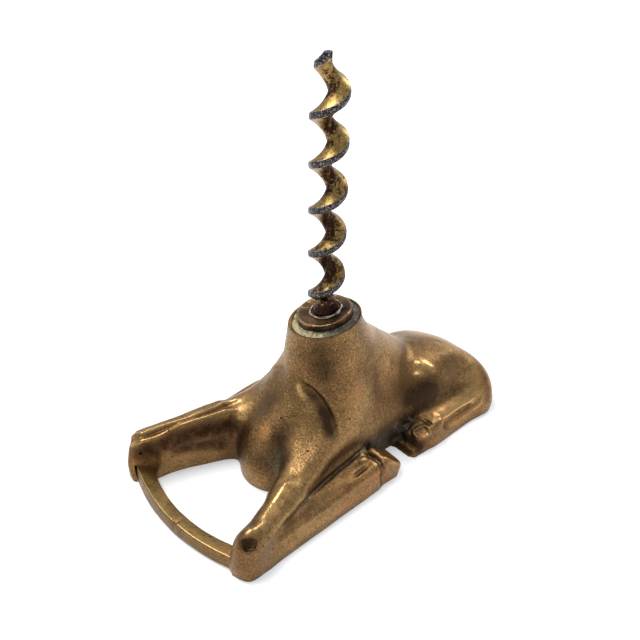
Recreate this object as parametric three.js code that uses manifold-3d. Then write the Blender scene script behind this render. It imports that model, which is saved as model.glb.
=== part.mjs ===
// Figural corkscrew: a lying hoofed animal cast in brass, whose neck carries a steel worm and whose
// knees carry a strap that lifts bottle caps.
// Millimetres, x to the animal's left, y to its rear, z up; the origin is under the worm's axis, on the ground.
import * as THREE from 'three';
import { mergeVertices } from 'three/addons/utils/BufferGeometryUtils.js';
import Module from 'manifold-3d';

const wasm = await Module();
wasm.setup();

// driving sizes of the casting
const castingLength = 100; // knees to rump; every place along the animal is a share of it
const halfWidth = 25; // places across the animal are shares of it
const formHeight = 40; // heights of the muscles are shares of it
const collarHeight = 41.5; // middle of the neck's cut face
const collarForwardLean = 7.6; // degrees that the cut face leans to the front
const collarSideLean = 8.9; // degrees that it leans to the animal's right
const kneeFlatTurn = 38; // degrees, from square across, of the flat on the right knee
const skinCell = 1.9; // size of the cells that the casting's skin is worked out on

// driving sizes of the neck fitting
const rimRadius = 9.75;
const rimWall = 0.65;
const ledgeDepth = 0.9;
const plugRadius = 7.45;
const plugRise = 2.4; // from the rim's plane to the plug's top
const plugChamfer = 0.4;
const spigotRadius = 5.7;
const spigotLength = 11;
const sealThickness = 0.5;
const seatGap = 0.3; // between any piece and what it sits in or on

// driving sizes of the worm
const wormRadius = 4.75;
const wormPitch = 12;
const wormCoreRadius = 0.45;
const bladeThickness = 1.6; // of its rim, measured along the axis
const bladeFoot = 46;
const bladeTip = 111.9;
const tipRadius = 0.6;
const tipTaper = 4.4; // height over which the blade runs out to the point
const footTaper = 3; // height over which the blade grows out of the boss
const bladePhase = 5.44; // height, less whole turns, at which the blade faces the animal's left
const bossFootRadius = 3.3;
const bossTopRadius = 2.5;
const bossTop = 48.2;
const bossChamfer = 0.7;
const shankRadius = 2.1;
const shankLength = 8;
const solderWidth = 0.9;
const solderHeight = 0.8;

// driving sizes of the opener bar and its pins
const barMiddleWidth = 4.2;
const barHeight = 4; // at its front edge
const barBevelDrop = 0.9; // how much lower the strap is at its rear edge
const barFaceLean = 0.4; // how far the front face leans back over its height
const barClearOfGround = 0.3;
const barEdge = 0.35;
const barFrontShare = 0.534; // of castingLength, front of the arch
const barOuterRise = 5.3; // how far the arch stands out ahead of its own ends, at the front face
const barInnerRise = 6.8; // the same at the rear face
const barHalfSpanShare = 0.98; // of halfWidth, where the strap ends inside the knees
const pinRadius = 1.1;
const pinLength = 9.4;
const pinFromBarEnd = 2.1;
const pinInBarShare = 0.35; // of the strap's width, from its rear edge
const pitSide = 2.6;

const circleSteps = 40;
const smallCircleSteps = 20;
const barSteps = 28;
const stepsPerTurn = 20;
const flankSteps = 5;
const overrun = 1; // how far cutting shapes run past what they cut
const weldShare = 0.001; // of seatGap, within which corners are one

const degrees = THREE.MathUtils.degToRad;

const brass = { color: 0x8f6d3a, roughness: 0.34, metalness: 1 };
const barBrass = { color: 0x97793f, roughness: 0.38, metalness: 1 };
const darkBrass = { color: 0x5d4a2a, roughness: 0.55, metalness: 1 };
const copper = { color: 0x6b3f2a, roughness: 0.5, metalness: 1 };
const steel = { color: 0x6f6a62, roughness: 0.4, metalness: 1 };
const solder = { color: 0xb3a583, roughness: 0.55, metalness: 0.8 };

// closed solids: geometry to solid and back
function solidFrom(geometry) {
  const bare = geometry.clone();
  bare.deleteAttribute('normal');
  bare.deleteAttribute('uv');
  const merged = mergeVertices(bare, weldShare * seatGap);
  return new wasm.Manifold(new wasm.Mesh({
    numProp: 3,
    vertProperties: new Float32Array(merged.attributes.position.array),
    triVerts: new Uint32Array(merged.index.array),
  }));
}

function geometryFrom(solid) {
  const mesh = solid.getMesh();
  const geometry = new THREE.BufferGeometry();
  geometry.setAttribute('position', new THREE.BufferAttribute(new Float32Array(mesh.vertProperties), 3));
  geometry.setIndex(new THREE.BufferAttribute(new Uint32Array(mesh.triVerts), 1));
  return geometry;
}

function placed(geometry, matrix) {
  return solidFrom(geometry.clone().applyMatrix4(matrix));
}

function uprightCylinder(radius, bottom, top, x, y, steps = smallCircleSteps) {
  const geometry = new THREE.CylinderGeometry(radius, radius, top - bottom, steps);
  geometry.rotateX(degrees(90));
  geometry.translate(x, y, (top + bottom) / 2);
  return solidFrom(geometry);
}

// turned shape about its own z axis, from [radius, height] points
function turned(points, steps = circleSteps) {
  const profile = points.map(([radius, height]) => new THREE.Vector2(radius, height));
  const geometry = new THREE.LatheGeometry(profile, steps);
  geometry.rotateX(degrees(90));
  return geometry;
}

// solid through rings of points that turn left round the way they follow
function lofted(rings) {
  const around = rings[0].length;
  const points = rings.flat();
  const index = [];
  for (let ring = 0; ring < rings.length - 1; ring += 1) {
    for (let n = 0; n < around; n += 1) {
      const a = ring * around + n;
      const b = ring * around + (n + 1) % around;
      index.push(a, b, b + around, a, b + around, a + around);
    }
  }
  const centreOf = (ring) => ring.reduce((sum, point) => sum.add(point), new THREE.Vector3()).divideScalar(around);
  const first = points.length;
  const last = rings.length * around - around;
  for (let n = 0; n < around; n += 1) {
    const next = (n + 1) % around;
    index.push(first, next, n, first + 1, last + n, last + next);
  }
  const geometry = new THREE.BufferGeometry();
  geometry.setFromPoints([...points, centreOf(rings[0]), centreOf(rings[rings.length - 1])]);
  geometry.setIndex(index);
  return geometry;
}

// the neck's cut face: its own z axis is the face's normal, its origin is the middle of the rim
const collarNormal = new THREE.Vector3(
  -Math.tan(degrees(collarSideLean)), -Math.tan(degrees(collarForwardLean)), 1,
).normalize();
const collarCentre = new THREE.Vector3(0, 0, collarHeight);
const collarFrame = new THREE.Matrix4().compose(
  collarCentre,
  new THREE.Quaternion().setFromUnitVectors(new THREE.Vector3(0, 0, 1), collarNormal),
  new THREE.Vector3(1, 1, 1),
);

// the same face where the worm's axis leaves the plug's top
const plugTopHeight = collarHeight + plugRise / collarNormal.z;
const plugTopFrame = collarFrame.clone().setPosition(0, 0, plugTopHeight);

// skin of the casting: distances to swelling forms, joined with soft fillets
function spot([along, across, up]) {
  return new THREE.Vector3(across * halfWidth, -along * castingLength, up * formHeight);
}

function swelling({ at, radii, yaw = 0, pitch = 0 }) {
  const centre = spot(at);
  const [along, across, up] = radii;
  const size = new THREE.Vector3(across * halfWidth, along * castingLength, up * formHeight);
  const turn = new THREE.Matrix4().makeRotationX(degrees(pitch))
    .multiply(new THREE.Matrix4().makeRotationZ(degrees(-yaw)));
  const near = new THREE.Vector3();
  const far = new THREE.Vector3();
  return (point) => {
    near.copy(point).sub(centre).applyMatrix4(turn).divide(size);
    far.copy(near).divide(size);
    const reach = near.length();
    return reach * (reach - 1) / Math.max(far.length(), Number.EPSILON);
  };
}

// a swelling whose outer side is flattened, with a soft edge round the flat
function flattened(shares) {
  const whole = swelling(shares);
  const { at, facing, fillet } = shares.flat;
  const [along, across, up] = facing;
  const outward = new THREE.Vector3(across, -along, up).normalize();
  const level = outward.dot(spot(at));
  return (point) => -smoothJoin(-whole(point), level - outward.dot(point), fillet * halfWidth);
}

function taper({ at, to, radii }) {
  const start = spot(at);
  const run = spot(to).sub(start);
  const [radiusFrom, radiusTo] = radii.map((share) => share * halfWidth);
  const off = new THREE.Vector3();
  return (point) => {
    off.copy(point).sub(start);
    const way = THREE.MathUtils.clamp(off.dot(run) / run.lengthSq(), 0, 1);
    return off.addScaledVector(run, -way).length() - (radiusFrom + (radiusTo - radiusFrom) * way);
  };
}

// a limb is a tapered bar with rounded edges; each end has its half width and half height
function limb({ at, to, half, halfTo, edge: edgeShare }) {
  const start = spot(at);
  const axis = spot(to).sub(start);
  const length = axis.length();
  axis.normalize();
  const side = new THREE.Vector3(0, 0, 1).cross(axis).normalize();
  const top = new THREE.Vector3().crossVectors(axis, side);
  const edge = edgeShare * halfWidth;
  const off = new THREE.Vector3();
  return (point) => {
    off.copy(point).sub(start);
    const run = off.dot(axis);
    const way = THREE.MathUtils.clamp(run / length, 0, 1);
    const halfAcross = (half[0] + (halfTo[0] - half[0]) * way) * halfWidth - edge;
    const halfUp = (half[1] + (halfTo[1] - half[1]) * way) * formHeight - edge;
    const pastEnd = Math.max(-run, run - length, 0);
    const pastSide = Math.abs(off.dot(side)) - halfAcross;
    const pastTop = Math.abs(off.dot(top)) - halfUp;
    const outside = Math.hypot(Math.max(pastSide, 0), Math.max(pastTop, 0), pastEnd);
    return outside + Math.min(Math.max(pastSide, pastTop), 0) - edge;
  };
}

// places are shares of castingLength, halfWidth and formHeight, fillets and edges of halfWidth;
// a paired form is on both sides
const formShares = [
  { name: 'neck', kind: taper, at: [0, 0, 1.1], to: [0.005, 0, 0.55], radii: [0.374, 0.464], fillet: 0 },
  {
    name: 'withers', kind: taper, at: [-0.045, -0.02, 0.725], to: [-0.2, 0.02, 0.38],
    radii: [0.4, 0.388], fillet: 0.24,
  },
  {
    name: 'barrel', kind: limb, at: [-0.02, 0.02, 0.075], to: [-0.27, 0.08, 0.05],
    half: [0.62, 0.375], halfTo: [0.6, 0.2875], edge: 0.36, fillet: 0.28,
  },
  { name: 'chest', kind: swelling, at: [0.085, 0.02, 0.0625], radii: [0.197, 0.552, 0.4875], fillet: 0.24 },
  { name: 'rump', kind: swelling, at: [-0.33, 0.08, 0.075], radii: [0.163, 0.64, 0.365], fillet: 0.2 },
  {
    name: 'left thigh', kind: flattened, at: [-0.33, 0.38, 0.1375], radii: [0.155, 0.58, 0.35], yaw: 4,
    flat: { at: [-0.3, 0.756, 0.2], facing: [0.04, 1, 0.09], fillet: 0.24 }, fillet: 0.16,
  },
  {
    name: 'shoulders', kind: swelling, paired: true,
    at: [0.025, 0.34, 0.325], radii: [0.11, 0.252, 0.3], pitch: -20, fillet: 0.22,
  },
  {
    name: 'upper arms', kind: limb, paired: true, at: [0.07, 0.344, 0.1375], to: [0.3, 0.704, 0.105],
    half: [0.272, 0.305], halfTo: [0.168, 0.22], edge: 0.168, fillet: 0.2,
  },
  {
    name: 'forearms', kind: limb, paired: true, at: [0.28, 0.696, 0.1], to: [0.45, 0.888, 0.06],
    half: [0.16, 0.225], halfTo: [0.132, 0.22], edge: 0.128, fillet: 0.1,
  },
  {
    name: 'knees', kind: swelling, paired: true,
    at: [0.452, 0.888, 0.085], radii: [0.05, 0.148, 0.225], fillet: 0.1,
  },
  {
    name: 'knee fronts', kind: limb, paired: true, at: [0.42, 0.852, 0.025], to: [0.469, 0.852, 0.025],
    half: [0.136, 0.125], halfTo: [0.136, 0.125], edge: 0.104, fillet: 0.06,
  },
  {
    name: 'right forearm ridge', kind: limb, at: [0.24, -0.616, 0.125], to: [0.454, -0.884, 0.105],
    half: [0.152, 0.2375], halfTo: [0.12, 0.2325], edge: 0.072, fillet: 0.08,
  },
  {
    name: 'forearm feet', kind: limb, paired: true, at: [0.2, 0.452, 0], to: [0.39, 0.808, 0],
    half: [0.088, 0.09], halfTo: [0.056, 0.065], edge: 0.056, fillet: 0.12,
  },
  {
    name: 'fore shanks', kind: limb, paired: true, at: [0.42, 0.904, 0.005], to: [0.04, 0.9, 0.005],
    half: [0.108, 0.165], halfTo: [0.12, 0.1775], edge: 0.096, fillet: 0.056,
  },
  {
    name: 'fore shank feet', kind: limb, paired: true, at: [0.42, 0.912, 0], to: [0.04, 0.916, 0],
    half: [0.112, 0.085], halfTo: [0.128, 0.09], edge: 0.084, fillet: 0.08,
  },
  {
    name: 'fore hooves', kind: limb, paired: true, at: [0.034, 0.864, 0.005], to: [-0.036, 0.872, -0.025],
    half: [0.156, 0.19], halfTo: [0.12, 0.115], edge: 0.115, fillet: 0.036,
  },
  {
    name: 'left hind shank', kind: limb, at: [-0.42, 0.792, 0.0125], to: [-0.21, 0.808, 0.0125],
    half: [0.112, 0.195], halfTo: [0.104, 0.17], edge: 0.096, fillet: 0.08,
  },
  {
    name: 'left hind foot', kind: limb, at: [-0.42, 0.824, 0], to: [-0.2, 0.832, 0],
    half: [0.176, 0.09], halfTo: [0.16, 0.085], edge: 0.104, fillet: 0.12,
  },
  {
    name: 'left hind hoof', kind: limb, at: [-0.21, 0.808, 0.0075], to: [-0.153, 0.816, -0.0125],
    half: [0.164, 0.18], halfTo: [0.144, 0.135], edge: 0.136, fillet: 0.04,
  },
  {
    name: 'left hock', kind: swelling, at: [-0.433, 0.68, 0.1125], radii: [0.056, 0.296, 0.21], fillet: 0.24,
  },
  {
    name: 'right hind shank', kind: limb, at: [-0.38, -0.592, 0.0125], to: [-0.21, -0.688, 0.0125],
    half: [0.16, 0.165], halfTo: [0.152, 0.15], edge: 0.088, fillet: 0.064,
  },
  {
    name: 'right hind hoof', kind: limb, at: [-0.21, -0.656, 0.0075], to: [-0.15, -0.68, -0.0125],
    half: [0.168, 0.165], halfTo: [0.136, 0.12], edge: 0.12, fillet: 0.04,
  },
];
const forms = formShares.map((shares) => ({
  distance: shares.kind(shares),
  paired: Boolean(shares.paired),
  fillet: shares.fillet * halfWidth,
}));
const kneeFlatShares = [0.468, -0.836, 0]; // a place on the right knee's flat

function smoothJoin(a, b, fillet) {
  if (fillet === 0) return Math.min(a, b);
  const nearness = Math.max(fillet - Math.abs(a - b), 0) / fillet;
  return Math.min(a, b) - nearness * nearness * fillet / 4;
}

const skinPoint = new THREE.Vector3();
function skinDistance(x, y, z) {
  let least = Infinity;
  for (const { distance, paired, fillet } of forms) {
    skinPoint.set(paired ? Math.abs(x) : x, y, z);
    least = smoothJoin(least, distance(skinPoint), fillet);
  }
  return least;
}

const skinReachShares = [0.56, 1.2, 1.45]; // of castingLength, halfWidth and formHeight
const probeShare = 0.05; // of skinCell
const drawShare = 0.45; // of skinCell, furthest that a corner is drawn
const drawRounds = 3;
const leastSlopeShare = 0.2;

// the skin as a closed mesh: one vertex in each cell that the skin crosses, drawn onto the skin
function skinGeometry() {
  const [reachAlong, reachAcross, reachUp] = skinReachShares;
  const low = new THREE.Vector3(-reachAcross * halfWidth, -reachAlong * castingLength, -2 * skinCell);
  const high = new THREE.Vector3(-low.x, -low.y, reachUp * formHeight);
  const counts = high.clone().sub(low).divideScalar(skinCell).ceil();
  const [nx, ny, nz] = [counts.x + 1, counts.y + 1, counts.z + 1];
  const floorDistance = (z) => low.z + skinCell - z;
  const field = (x, y, z) => Math.max(skinDistance(x, y, z), floorDistance(z));
  const values = new Float64Array(nx * ny * nz);
  const valueAt = (i, j, k) => i + nx * (j + ny * k);
  const cornerOf = (i, j, k) => new THREE.Vector3(i, j, k).multiplyScalar(skinCell).add(low);
  for (let k = 0; k < nz; k += 1) {
    for (let j = 0; j < ny; j += 1) {
      for (let i = 0; i < nx; i += 1) {
        const { x, y, z } = cornerOf(i, j, k);
        values[valueAt(i, j, k)] = field(x, y, z);
      }
    }
  }
  const positions = [];
  const vertexOf = new Map();
  const corners = [0, 1, 2, 3, 4, 5, 6, 7].map((n) => [n & 1, (n >> 1) & 1, (n >> 2) & 1]);
  const edges = [];
  for (let a = 0; a < 8; a += 1) {
    for (const bit of [1, 2, 4]) {
      if ((a & bit) === 0) edges.push([a, a | bit]);
    }
  }
  const cellVertex = (i, j, k) => {
    const key = valueAt(i, j, k);
    if (vertexOf.has(key)) return vertexOf.get(key);
    const mean = new THREE.Vector3();
    let crossings = 0;
    for (const [a, b] of edges) {
      const va = values[valueAt(i + corners[a][0], j + corners[a][1], k + corners[a][2])];
      const vb = values[valueAt(i + corners[b][0], j + corners[b][1], k + corners[b][2])];
      if ((va < 0) === (vb < 0)) continue;
      const pa = cornerOf(i + corners[a][0], j + corners[a][1], k + corners[a][2]);
      const pb = cornerOf(i + corners[b][0], j + corners[b][1], k + corners[b][2]);
      mean.add(pa.lerp(pb, va / (va - vb)));
      crossings += 1;
    }
    mean.divideScalar(crossings);
    const place = drawnOn(mean, field);
    vertexOf.set(key, positions.length / 3);
    positions.push(place.x, place.y, place.z);
    return vertexOf.get(key);
  };
  const index = [];
  const steps = [[1, 0, 0], [0, 1, 0], [0, 0, 1]];
  for (let k = 1; k < nz - 1; k += 1) {
    for (let j = 1; j < ny - 1; j += 1) {
      for (let i = 1; i < nx - 1; i += 1) {
        const here = values[valueAt(i, j, k)] < 0;
        for (let axis = 0; axis < 3; axis += 1) {
          const [di, dj, dk] = steps[axis];
          const there = values[valueAt(i + di, j + dj, k + dk)] < 0;
          if (here === there) continue;
          const [ui, uj, uk] = steps[(axis + 1) % 3];
          const [vi, vj, vk] = steps[(axis + 2) % 3];
          const quad = [
            cellVertex(i, j, k),
            cellVertex(i - ui, j - uj, k - uk),
            cellVertex(i - ui - vi, j - uj - vj, k - uk - vk),
            cellVertex(i - vi, j - vj, k - vk),
          ];
          if (!here) quad.reverse();
          index.push(quad[0], quad[1], quad[2], quad[0], quad[2], quad[3]);
        }
      }
    }
  }
  const geometry = new THREE.BufferGeometry();
  geometry.setAttribute('position', new THREE.BufferAttribute(new Float32Array(positions), 3));
  geometry.setIndex(index);
  return geometry;
}

// moves a point along the field's slope onto the skin, but no further than a part of its own cell
function drawnOn(point, field) {
  const probe = probeShare * skinCell;
  const place = point.clone();
  for (let round = 0; round < drawRounds; round += 1) {
    const { x, y, z } = place;
    const slope = new THREE.Vector3(
      field(x + probe, y, z) - field(x - probe, y, z),
      field(x, y + probe, z) - field(x, y - probe, z),
      field(x, y, z + probe) - field(x, y, z - probe),
    ).divideScalar(2 * probe);
    place.addScaledVector(slope, -field(x, y, z) / Math.max(slope.lengthSq(), leastSlopeShare));
  }
  const shift = place.sub(point).clampLength(0, drawShare * skinCell);
  return point.clone().add(shift);
}

// opener bar: a strap bent to an arch, lower at its rear edge, whose ends are let into the knees
const barHalfSpan = barHalfSpanShare * halfWidth;
const barFront = barFrontShare * castingLength;

// front and rear faces at a place across, which is a share of the half span
function barFaces(acrossShare) {
  const front = barFront - barOuterRise * acrossShare ** 2;
  const rear = barFront - barMiddleWidth - barInnerRise * acrossShare ** 2;
  return { front, rear };
}

function barLoft(halfSpan, section) {
  const rings = [];
  for (let n = 0; n <= barSteps; n += 1) {
    const acrossShare = 2 * n / barSteps - 1;
    const x = acrossShare * halfSpan;
    const { front, rear } = barFaces(acrossShare);
    rings.push(section(front, rear).map(([forward, height]) => new THREE.Vector3(x, -forward, height)));
  }
  return lofted(rings);
}

function barGeometry() {
  const foot = barClearOfGround;
  const frontTop = foot + barHeight;
  const rearTop = frontTop - barBevelDrop;
  return barLoft(barHalfSpan, (front, rear) => [
    [rear, foot + barEdge],
    [rear, rearTop - barEdge],
    [rear + barEdge, rearTop],
    [front - barFaceLean - barEdge, frontTop],
    [front - barFaceLean, frontTop - barEdge],
    [front, foot + barEdge],
    [front - barEdge, foot],
    [rear + barEdge, foot],
  ]);
}

function barPocket() {
  const frontTop = barClearOfGround + barHeight + seatGap;
  return solidFrom(barLoft(barHalfSpan + seatGap, (front, rear) => [
    [rear - seatGap, -overrun],
    [rear - seatGap, frontTop - barBevelDrop + seatGap],
    [front - barFaceLean - barEdge, frontTop + seatGap],
    [front + seatGap, frontTop],
    [front + seatGap, -overrun],
  ]));
}

// pins come up from below through the bar's ends into the knees
const pinX = barHalfSpan - pinFromBarEnd;
const barAtPin = barFaces(pinX / barHalfSpan);
const pinY = -(barAtPin.rear + (barAtPin.front - barAtPin.rear) * pinInBarShare);

function pinHole(side, radius, top) {
  return uprightCylinder(radius, -overrun, top, side * pinX, pinY);
}

function kneePit() {
  const top = pinLength + seatGap;
  const geometry = new THREE.BoxGeometry(pitSide, pitSide, formHeight - top);
  geometry.translate(pinX, pinY, (formHeight + top) / 2 - seatGap);
  return solidFrom(geometry);
}

// the right knee is filed flat over the bar's end
function kneeFlat() {
  const geometry = new THREE.BoxGeometry(halfWidth, halfWidth, 2 * formHeight);
  geometry.translate(halfWidth / 2, 0, 0);
  const frame = new THREE.Matrix4().makeRotationZ(-degrees(kneeFlatTurn)).setPosition(spot(kneeFlatShares));
  return placed(geometry, frame);
}

// casting: skin, cut flat below and at the neck, bored for the plug, the bar and the pins
function castingGeometry() {
  const block = Math.max(castingLength, formHeight) * 2;
  const ground = new THREE.BoxGeometry(block, block, block);
  ground.translate(0, 0, -block / 2);
  const above = new THREE.BoxGeometry(block, block, block);
  above.translate(0, 0, block / 2);
  const ledgeRadius = rimRadius - rimWall;
  const boreRadius = spigotRadius + seatGap;
  const boreDepth = ledgeDepth + spigotLength + 2 * seatGap;
  const bore = turned([
    [0, -boreDepth],
    [boreRadius, -boreDepth],
    [boreRadius, -ledgeDepth],
    [ledgeRadius, -ledgeDepth],
    [ledgeRadius, overrun],
    [0, overrun],
  ]);
  let casting = solidFrom(skinGeometry())
    .subtract(solidFrom(ground))
    .subtract(placed(above, collarFrame))
    .subtract(placed(bore, collarFrame))
    .subtract(kneeFlat())
    .subtract(barPocket());
  for (const side of [-1, 1]) casting = casting.subtract(pinHole(side, pinRadius + seatGap, pinLength + seatGap));
  return geometryFrom(casting.subtract(kneePit()));
}

// plug: turned disc on a spigot, bored upright for the worm's shank
function plugGeometry() {
  const discFoot = seatGap - ledgeDepth;
  const disc = turned([
    [0, discFoot - spigotLength],
    [spigotRadius, discFoot - spigotLength],
    [spigotRadius, discFoot],
    [plugRadius, discFoot],
    [plugRadius, plugRise - plugChamfer],
    [plugRadius - plugChamfer, plugRise],
    [0, plugRise],
  ]);
  const shankBore = uprightCylinder(
    shankRadius + seatGap, collarHeight - spigotLength - plugRadius, plugTopHeight + plugRadius, 0, 0,
  );
  return geometryFrom(placed(disc, collarFrame).subtract(shankBore));
}

// seal: thin ring that fills the ledge between the rim and the plug
function sealGeometry() {
  const foot = seatGap - ledgeDepth;
  const inner = plugRadius + seatGap;
  const outer = rimRadius - rimWall - seatGap;
  return turned([
    [inner, foot],
    [outer, foot],
    [outer, foot + sealThickness],
    [inner, foot + sealThickness],
    [inner, foot],
  ]).applyMatrix4(collarFrame);
}

// worm: one helical blade on a thin core, which at any height is a cam round the axis; on a boss and a shank
function wormBladeGeometry() {
  const halfRim = Math.PI * bladeThickness / wormPitch;
  const turns = [-halfRim, 0, halfRim];
  for (let n = 1; n <= flankSteps; n += 1) turns.push(halfRim + (Math.PI - halfRim) * (n / flankSteps));
  for (let n = flankSteps - 1; n > 0; n -= 1) turns.push(-halfRim - (Math.PI - halfRim) * (n / flankSteps));
  const steps = Math.ceil(stepsPerTurn * (bladeTip - bladeFoot) / wormPitch);
  const rings = [];
  for (let step = 0; step <= steps; step += 1) {
    const height = bladeFoot + (bladeTip - bladeFoot) * (step / steps);
    const heading = 2 * Math.PI * (height - bladePhase) / wormPitch;
    rings.push(turns.map((turn) => {
      const bladeHeight = height + wormPitch * turn / (2 * Math.PI);
      const tipShare = THREE.MathUtils.clamp((bladeTip - bladeHeight) / tipTaper, 0, 1);
      const footShare = THREE.MathUtils.clamp((bladeHeight - bladeFoot) / footTaper, 0, 1);
      const rimAtTip = tipRadius + (wormRadius - tipRadius) * tipShare;
      const rim = Math.min(rimAtTip, bossTopRadius + (wormRadius - bossTopRadius) * footShare);
      const flankShare = Math.min((Math.PI - Math.abs(turn)) / (Math.PI - halfRim), 1);
      const radius = wormCoreRadius + (rim - wormCoreRadius) * flankShare ** 2;
      return new THREE.Vector3(radius * Math.cos(heading + turn), radius * Math.sin(heading + turn), height);
    }));
  }
  return lofted(rings);
}

function wormGeometry() {
  const boss = turned([
    [0, -bossFootRadius],
    [bossFootRadius, -bossFootRadius],
    [bossTopRadius, bossTop - plugTopHeight - bossChamfer],
    [bossTopRadius - bossChamfer, bossTop - plugTopHeight],
    [0, bossTop - plugTopHeight],
  ], smallCircleSteps);
  boss.translate(0, 0, plugTopHeight);
  const below = new THREE.BoxGeometry(halfWidth, halfWidth, halfWidth);
  below.translate(0, 0, seatGap - halfWidth / 2);
  const shank = uprightCylinder(shankRadius, plugTopHeight - shankLength, bossTop - bossChamfer, 0, 0);
  return geometryFrom(
    solidFrom(boss).subtract(placed(below, plugTopFrame)).add(shank).add(solidFrom(wormBladeGeometry())),
  );
}

// solder: raised ring round the boss, on the plug's top
function solderGeometry() {
  const inner = bossFootRadius + seatGap + solderHeight * Math.hypot(collarNormal.x, collarNormal.y);
  const outer = inner + solderWidth;
  return turned([
    [inner, seatGap],
    [outer, seatGap],
    [inner + solderWidth / 2, seatGap + solderHeight],
    [inner, seatGap + solderHeight / 2],
    [inner, seatGap],
  ], smallCircleSteps).applyMatrix4(plugTopFrame);
}

function pinGeometry(side) {
  const geometry = new THREE.CylinderGeometry(pinRadius, pinRadius, pinLength - seatGap, smallCircleSteps);
  geometry.rotateX(degrees(90));
  geometry.translate(side * pinX, pinY, (pinLength + seatGap) / 2);
  return geometry;
}

function boredBarGeometry() {
  let bar = solidFrom(barGeometry());
  for (const side of [-1, 1]) bar = bar.subtract(pinHole(side, pinRadius + seatGap, formHeight));
  return geometryFrom(bar);
}

const corkscrew = new THREE.Group();

function addPiece(name, geometry, finish) {
  const mesh = new THREE.Mesh(geometry, new THREE.MeshStandardMaterial(finish));
  mesh.name = name;
  corkscrew.add(mesh);
}

addPiece('body_casting', castingGeometry(), brass);
addPiece('opener_bar', boredBarGeometry(), barBrass);
addPiece('bar_pin_left', pinGeometry(1), copper);
addPiece('bar_pin_right', pinGeometry(-1), copper);
addPiece('neck_plug', plugGeometry(), darkBrass);
addPiece('plug_seal_ring', sealGeometry(), solder);
addPiece('worm', wormGeometry(), steel);
addPiece('worm_solder_ring', solderGeometry(), solder);

export default corkscrew;
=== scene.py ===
import math

import bpy
import numpy as np
from mathutils import Matrix, Vector


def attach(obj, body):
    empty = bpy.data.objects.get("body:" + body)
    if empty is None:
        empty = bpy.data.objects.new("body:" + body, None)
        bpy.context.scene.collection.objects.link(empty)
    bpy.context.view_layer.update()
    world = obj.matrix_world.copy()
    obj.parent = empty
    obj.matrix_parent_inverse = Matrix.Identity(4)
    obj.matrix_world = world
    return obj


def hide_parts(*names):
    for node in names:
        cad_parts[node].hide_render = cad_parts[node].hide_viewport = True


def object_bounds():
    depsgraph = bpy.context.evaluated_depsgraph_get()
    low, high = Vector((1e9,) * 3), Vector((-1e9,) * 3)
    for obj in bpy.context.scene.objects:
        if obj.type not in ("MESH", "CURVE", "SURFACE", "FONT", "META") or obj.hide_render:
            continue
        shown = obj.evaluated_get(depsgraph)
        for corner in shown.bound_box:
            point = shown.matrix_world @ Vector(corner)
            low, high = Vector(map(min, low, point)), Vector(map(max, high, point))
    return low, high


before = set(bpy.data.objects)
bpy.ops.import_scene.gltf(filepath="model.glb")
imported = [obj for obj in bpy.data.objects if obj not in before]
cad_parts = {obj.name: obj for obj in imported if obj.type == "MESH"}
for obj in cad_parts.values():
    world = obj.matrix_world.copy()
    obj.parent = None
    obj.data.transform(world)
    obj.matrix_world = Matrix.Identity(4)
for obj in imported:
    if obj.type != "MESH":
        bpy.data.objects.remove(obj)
cad_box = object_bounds()
mm = 0.001


# Camera: stands to the front and left of the animal, looking down at it, where the
# photograph was taken from.
camera_place = (0.13695, -0.13272, 0.17828)
camera_heading = math.radians(46.34)
camera_dip = math.radians(35.85)
camera_roll = math.radians(0.834)
camera_turn = (
    Matrix.Rotation(camera_heading, 3, "Z")
    @ Matrix.Rotation(math.pi / 2 - camera_dip, 3, "X")
    @ Matrix.Rotation(camera_roll, 3, "Z")
)
bpy.ops.object.camera_add(location=camera_place, rotation=camera_turn.to_euler())
camera = bpy.context.object
camera.name = "camera"
camera.data.sensor_width = 36
camera.data.lens = 50.625
camera.data.clip_start = 0.01
bpy.context.scene.camera = camera


# Casting: the lying animal, one solid piece of cast brass, filed flat underneath and cut off
# at the neck. Its muscles are swelling forms that run into each other with soft fillets; the
# creases, coronets and tendon lines are chased into the skin by hand.
casting_length = 0.1
half_width = 0.025
form_height = 0.04


# A form's places and sizes are shares of the length, half width and height, and its edges and
# fillets are shares of the half width; a paired form stands on both sides.
def taper(at, to, radii, fillet):
    return dict(locals(), kind="taper", paired=False)


def swelling(at, radii, fillet, pitch=0, yaw=0, flat=None, paired=False):
    return dict(locals(), kind="swelling")


def limb(at, to, half, half_to, edge, fillet, paired=False):
    return dict(locals(), kind="limb")


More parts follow.
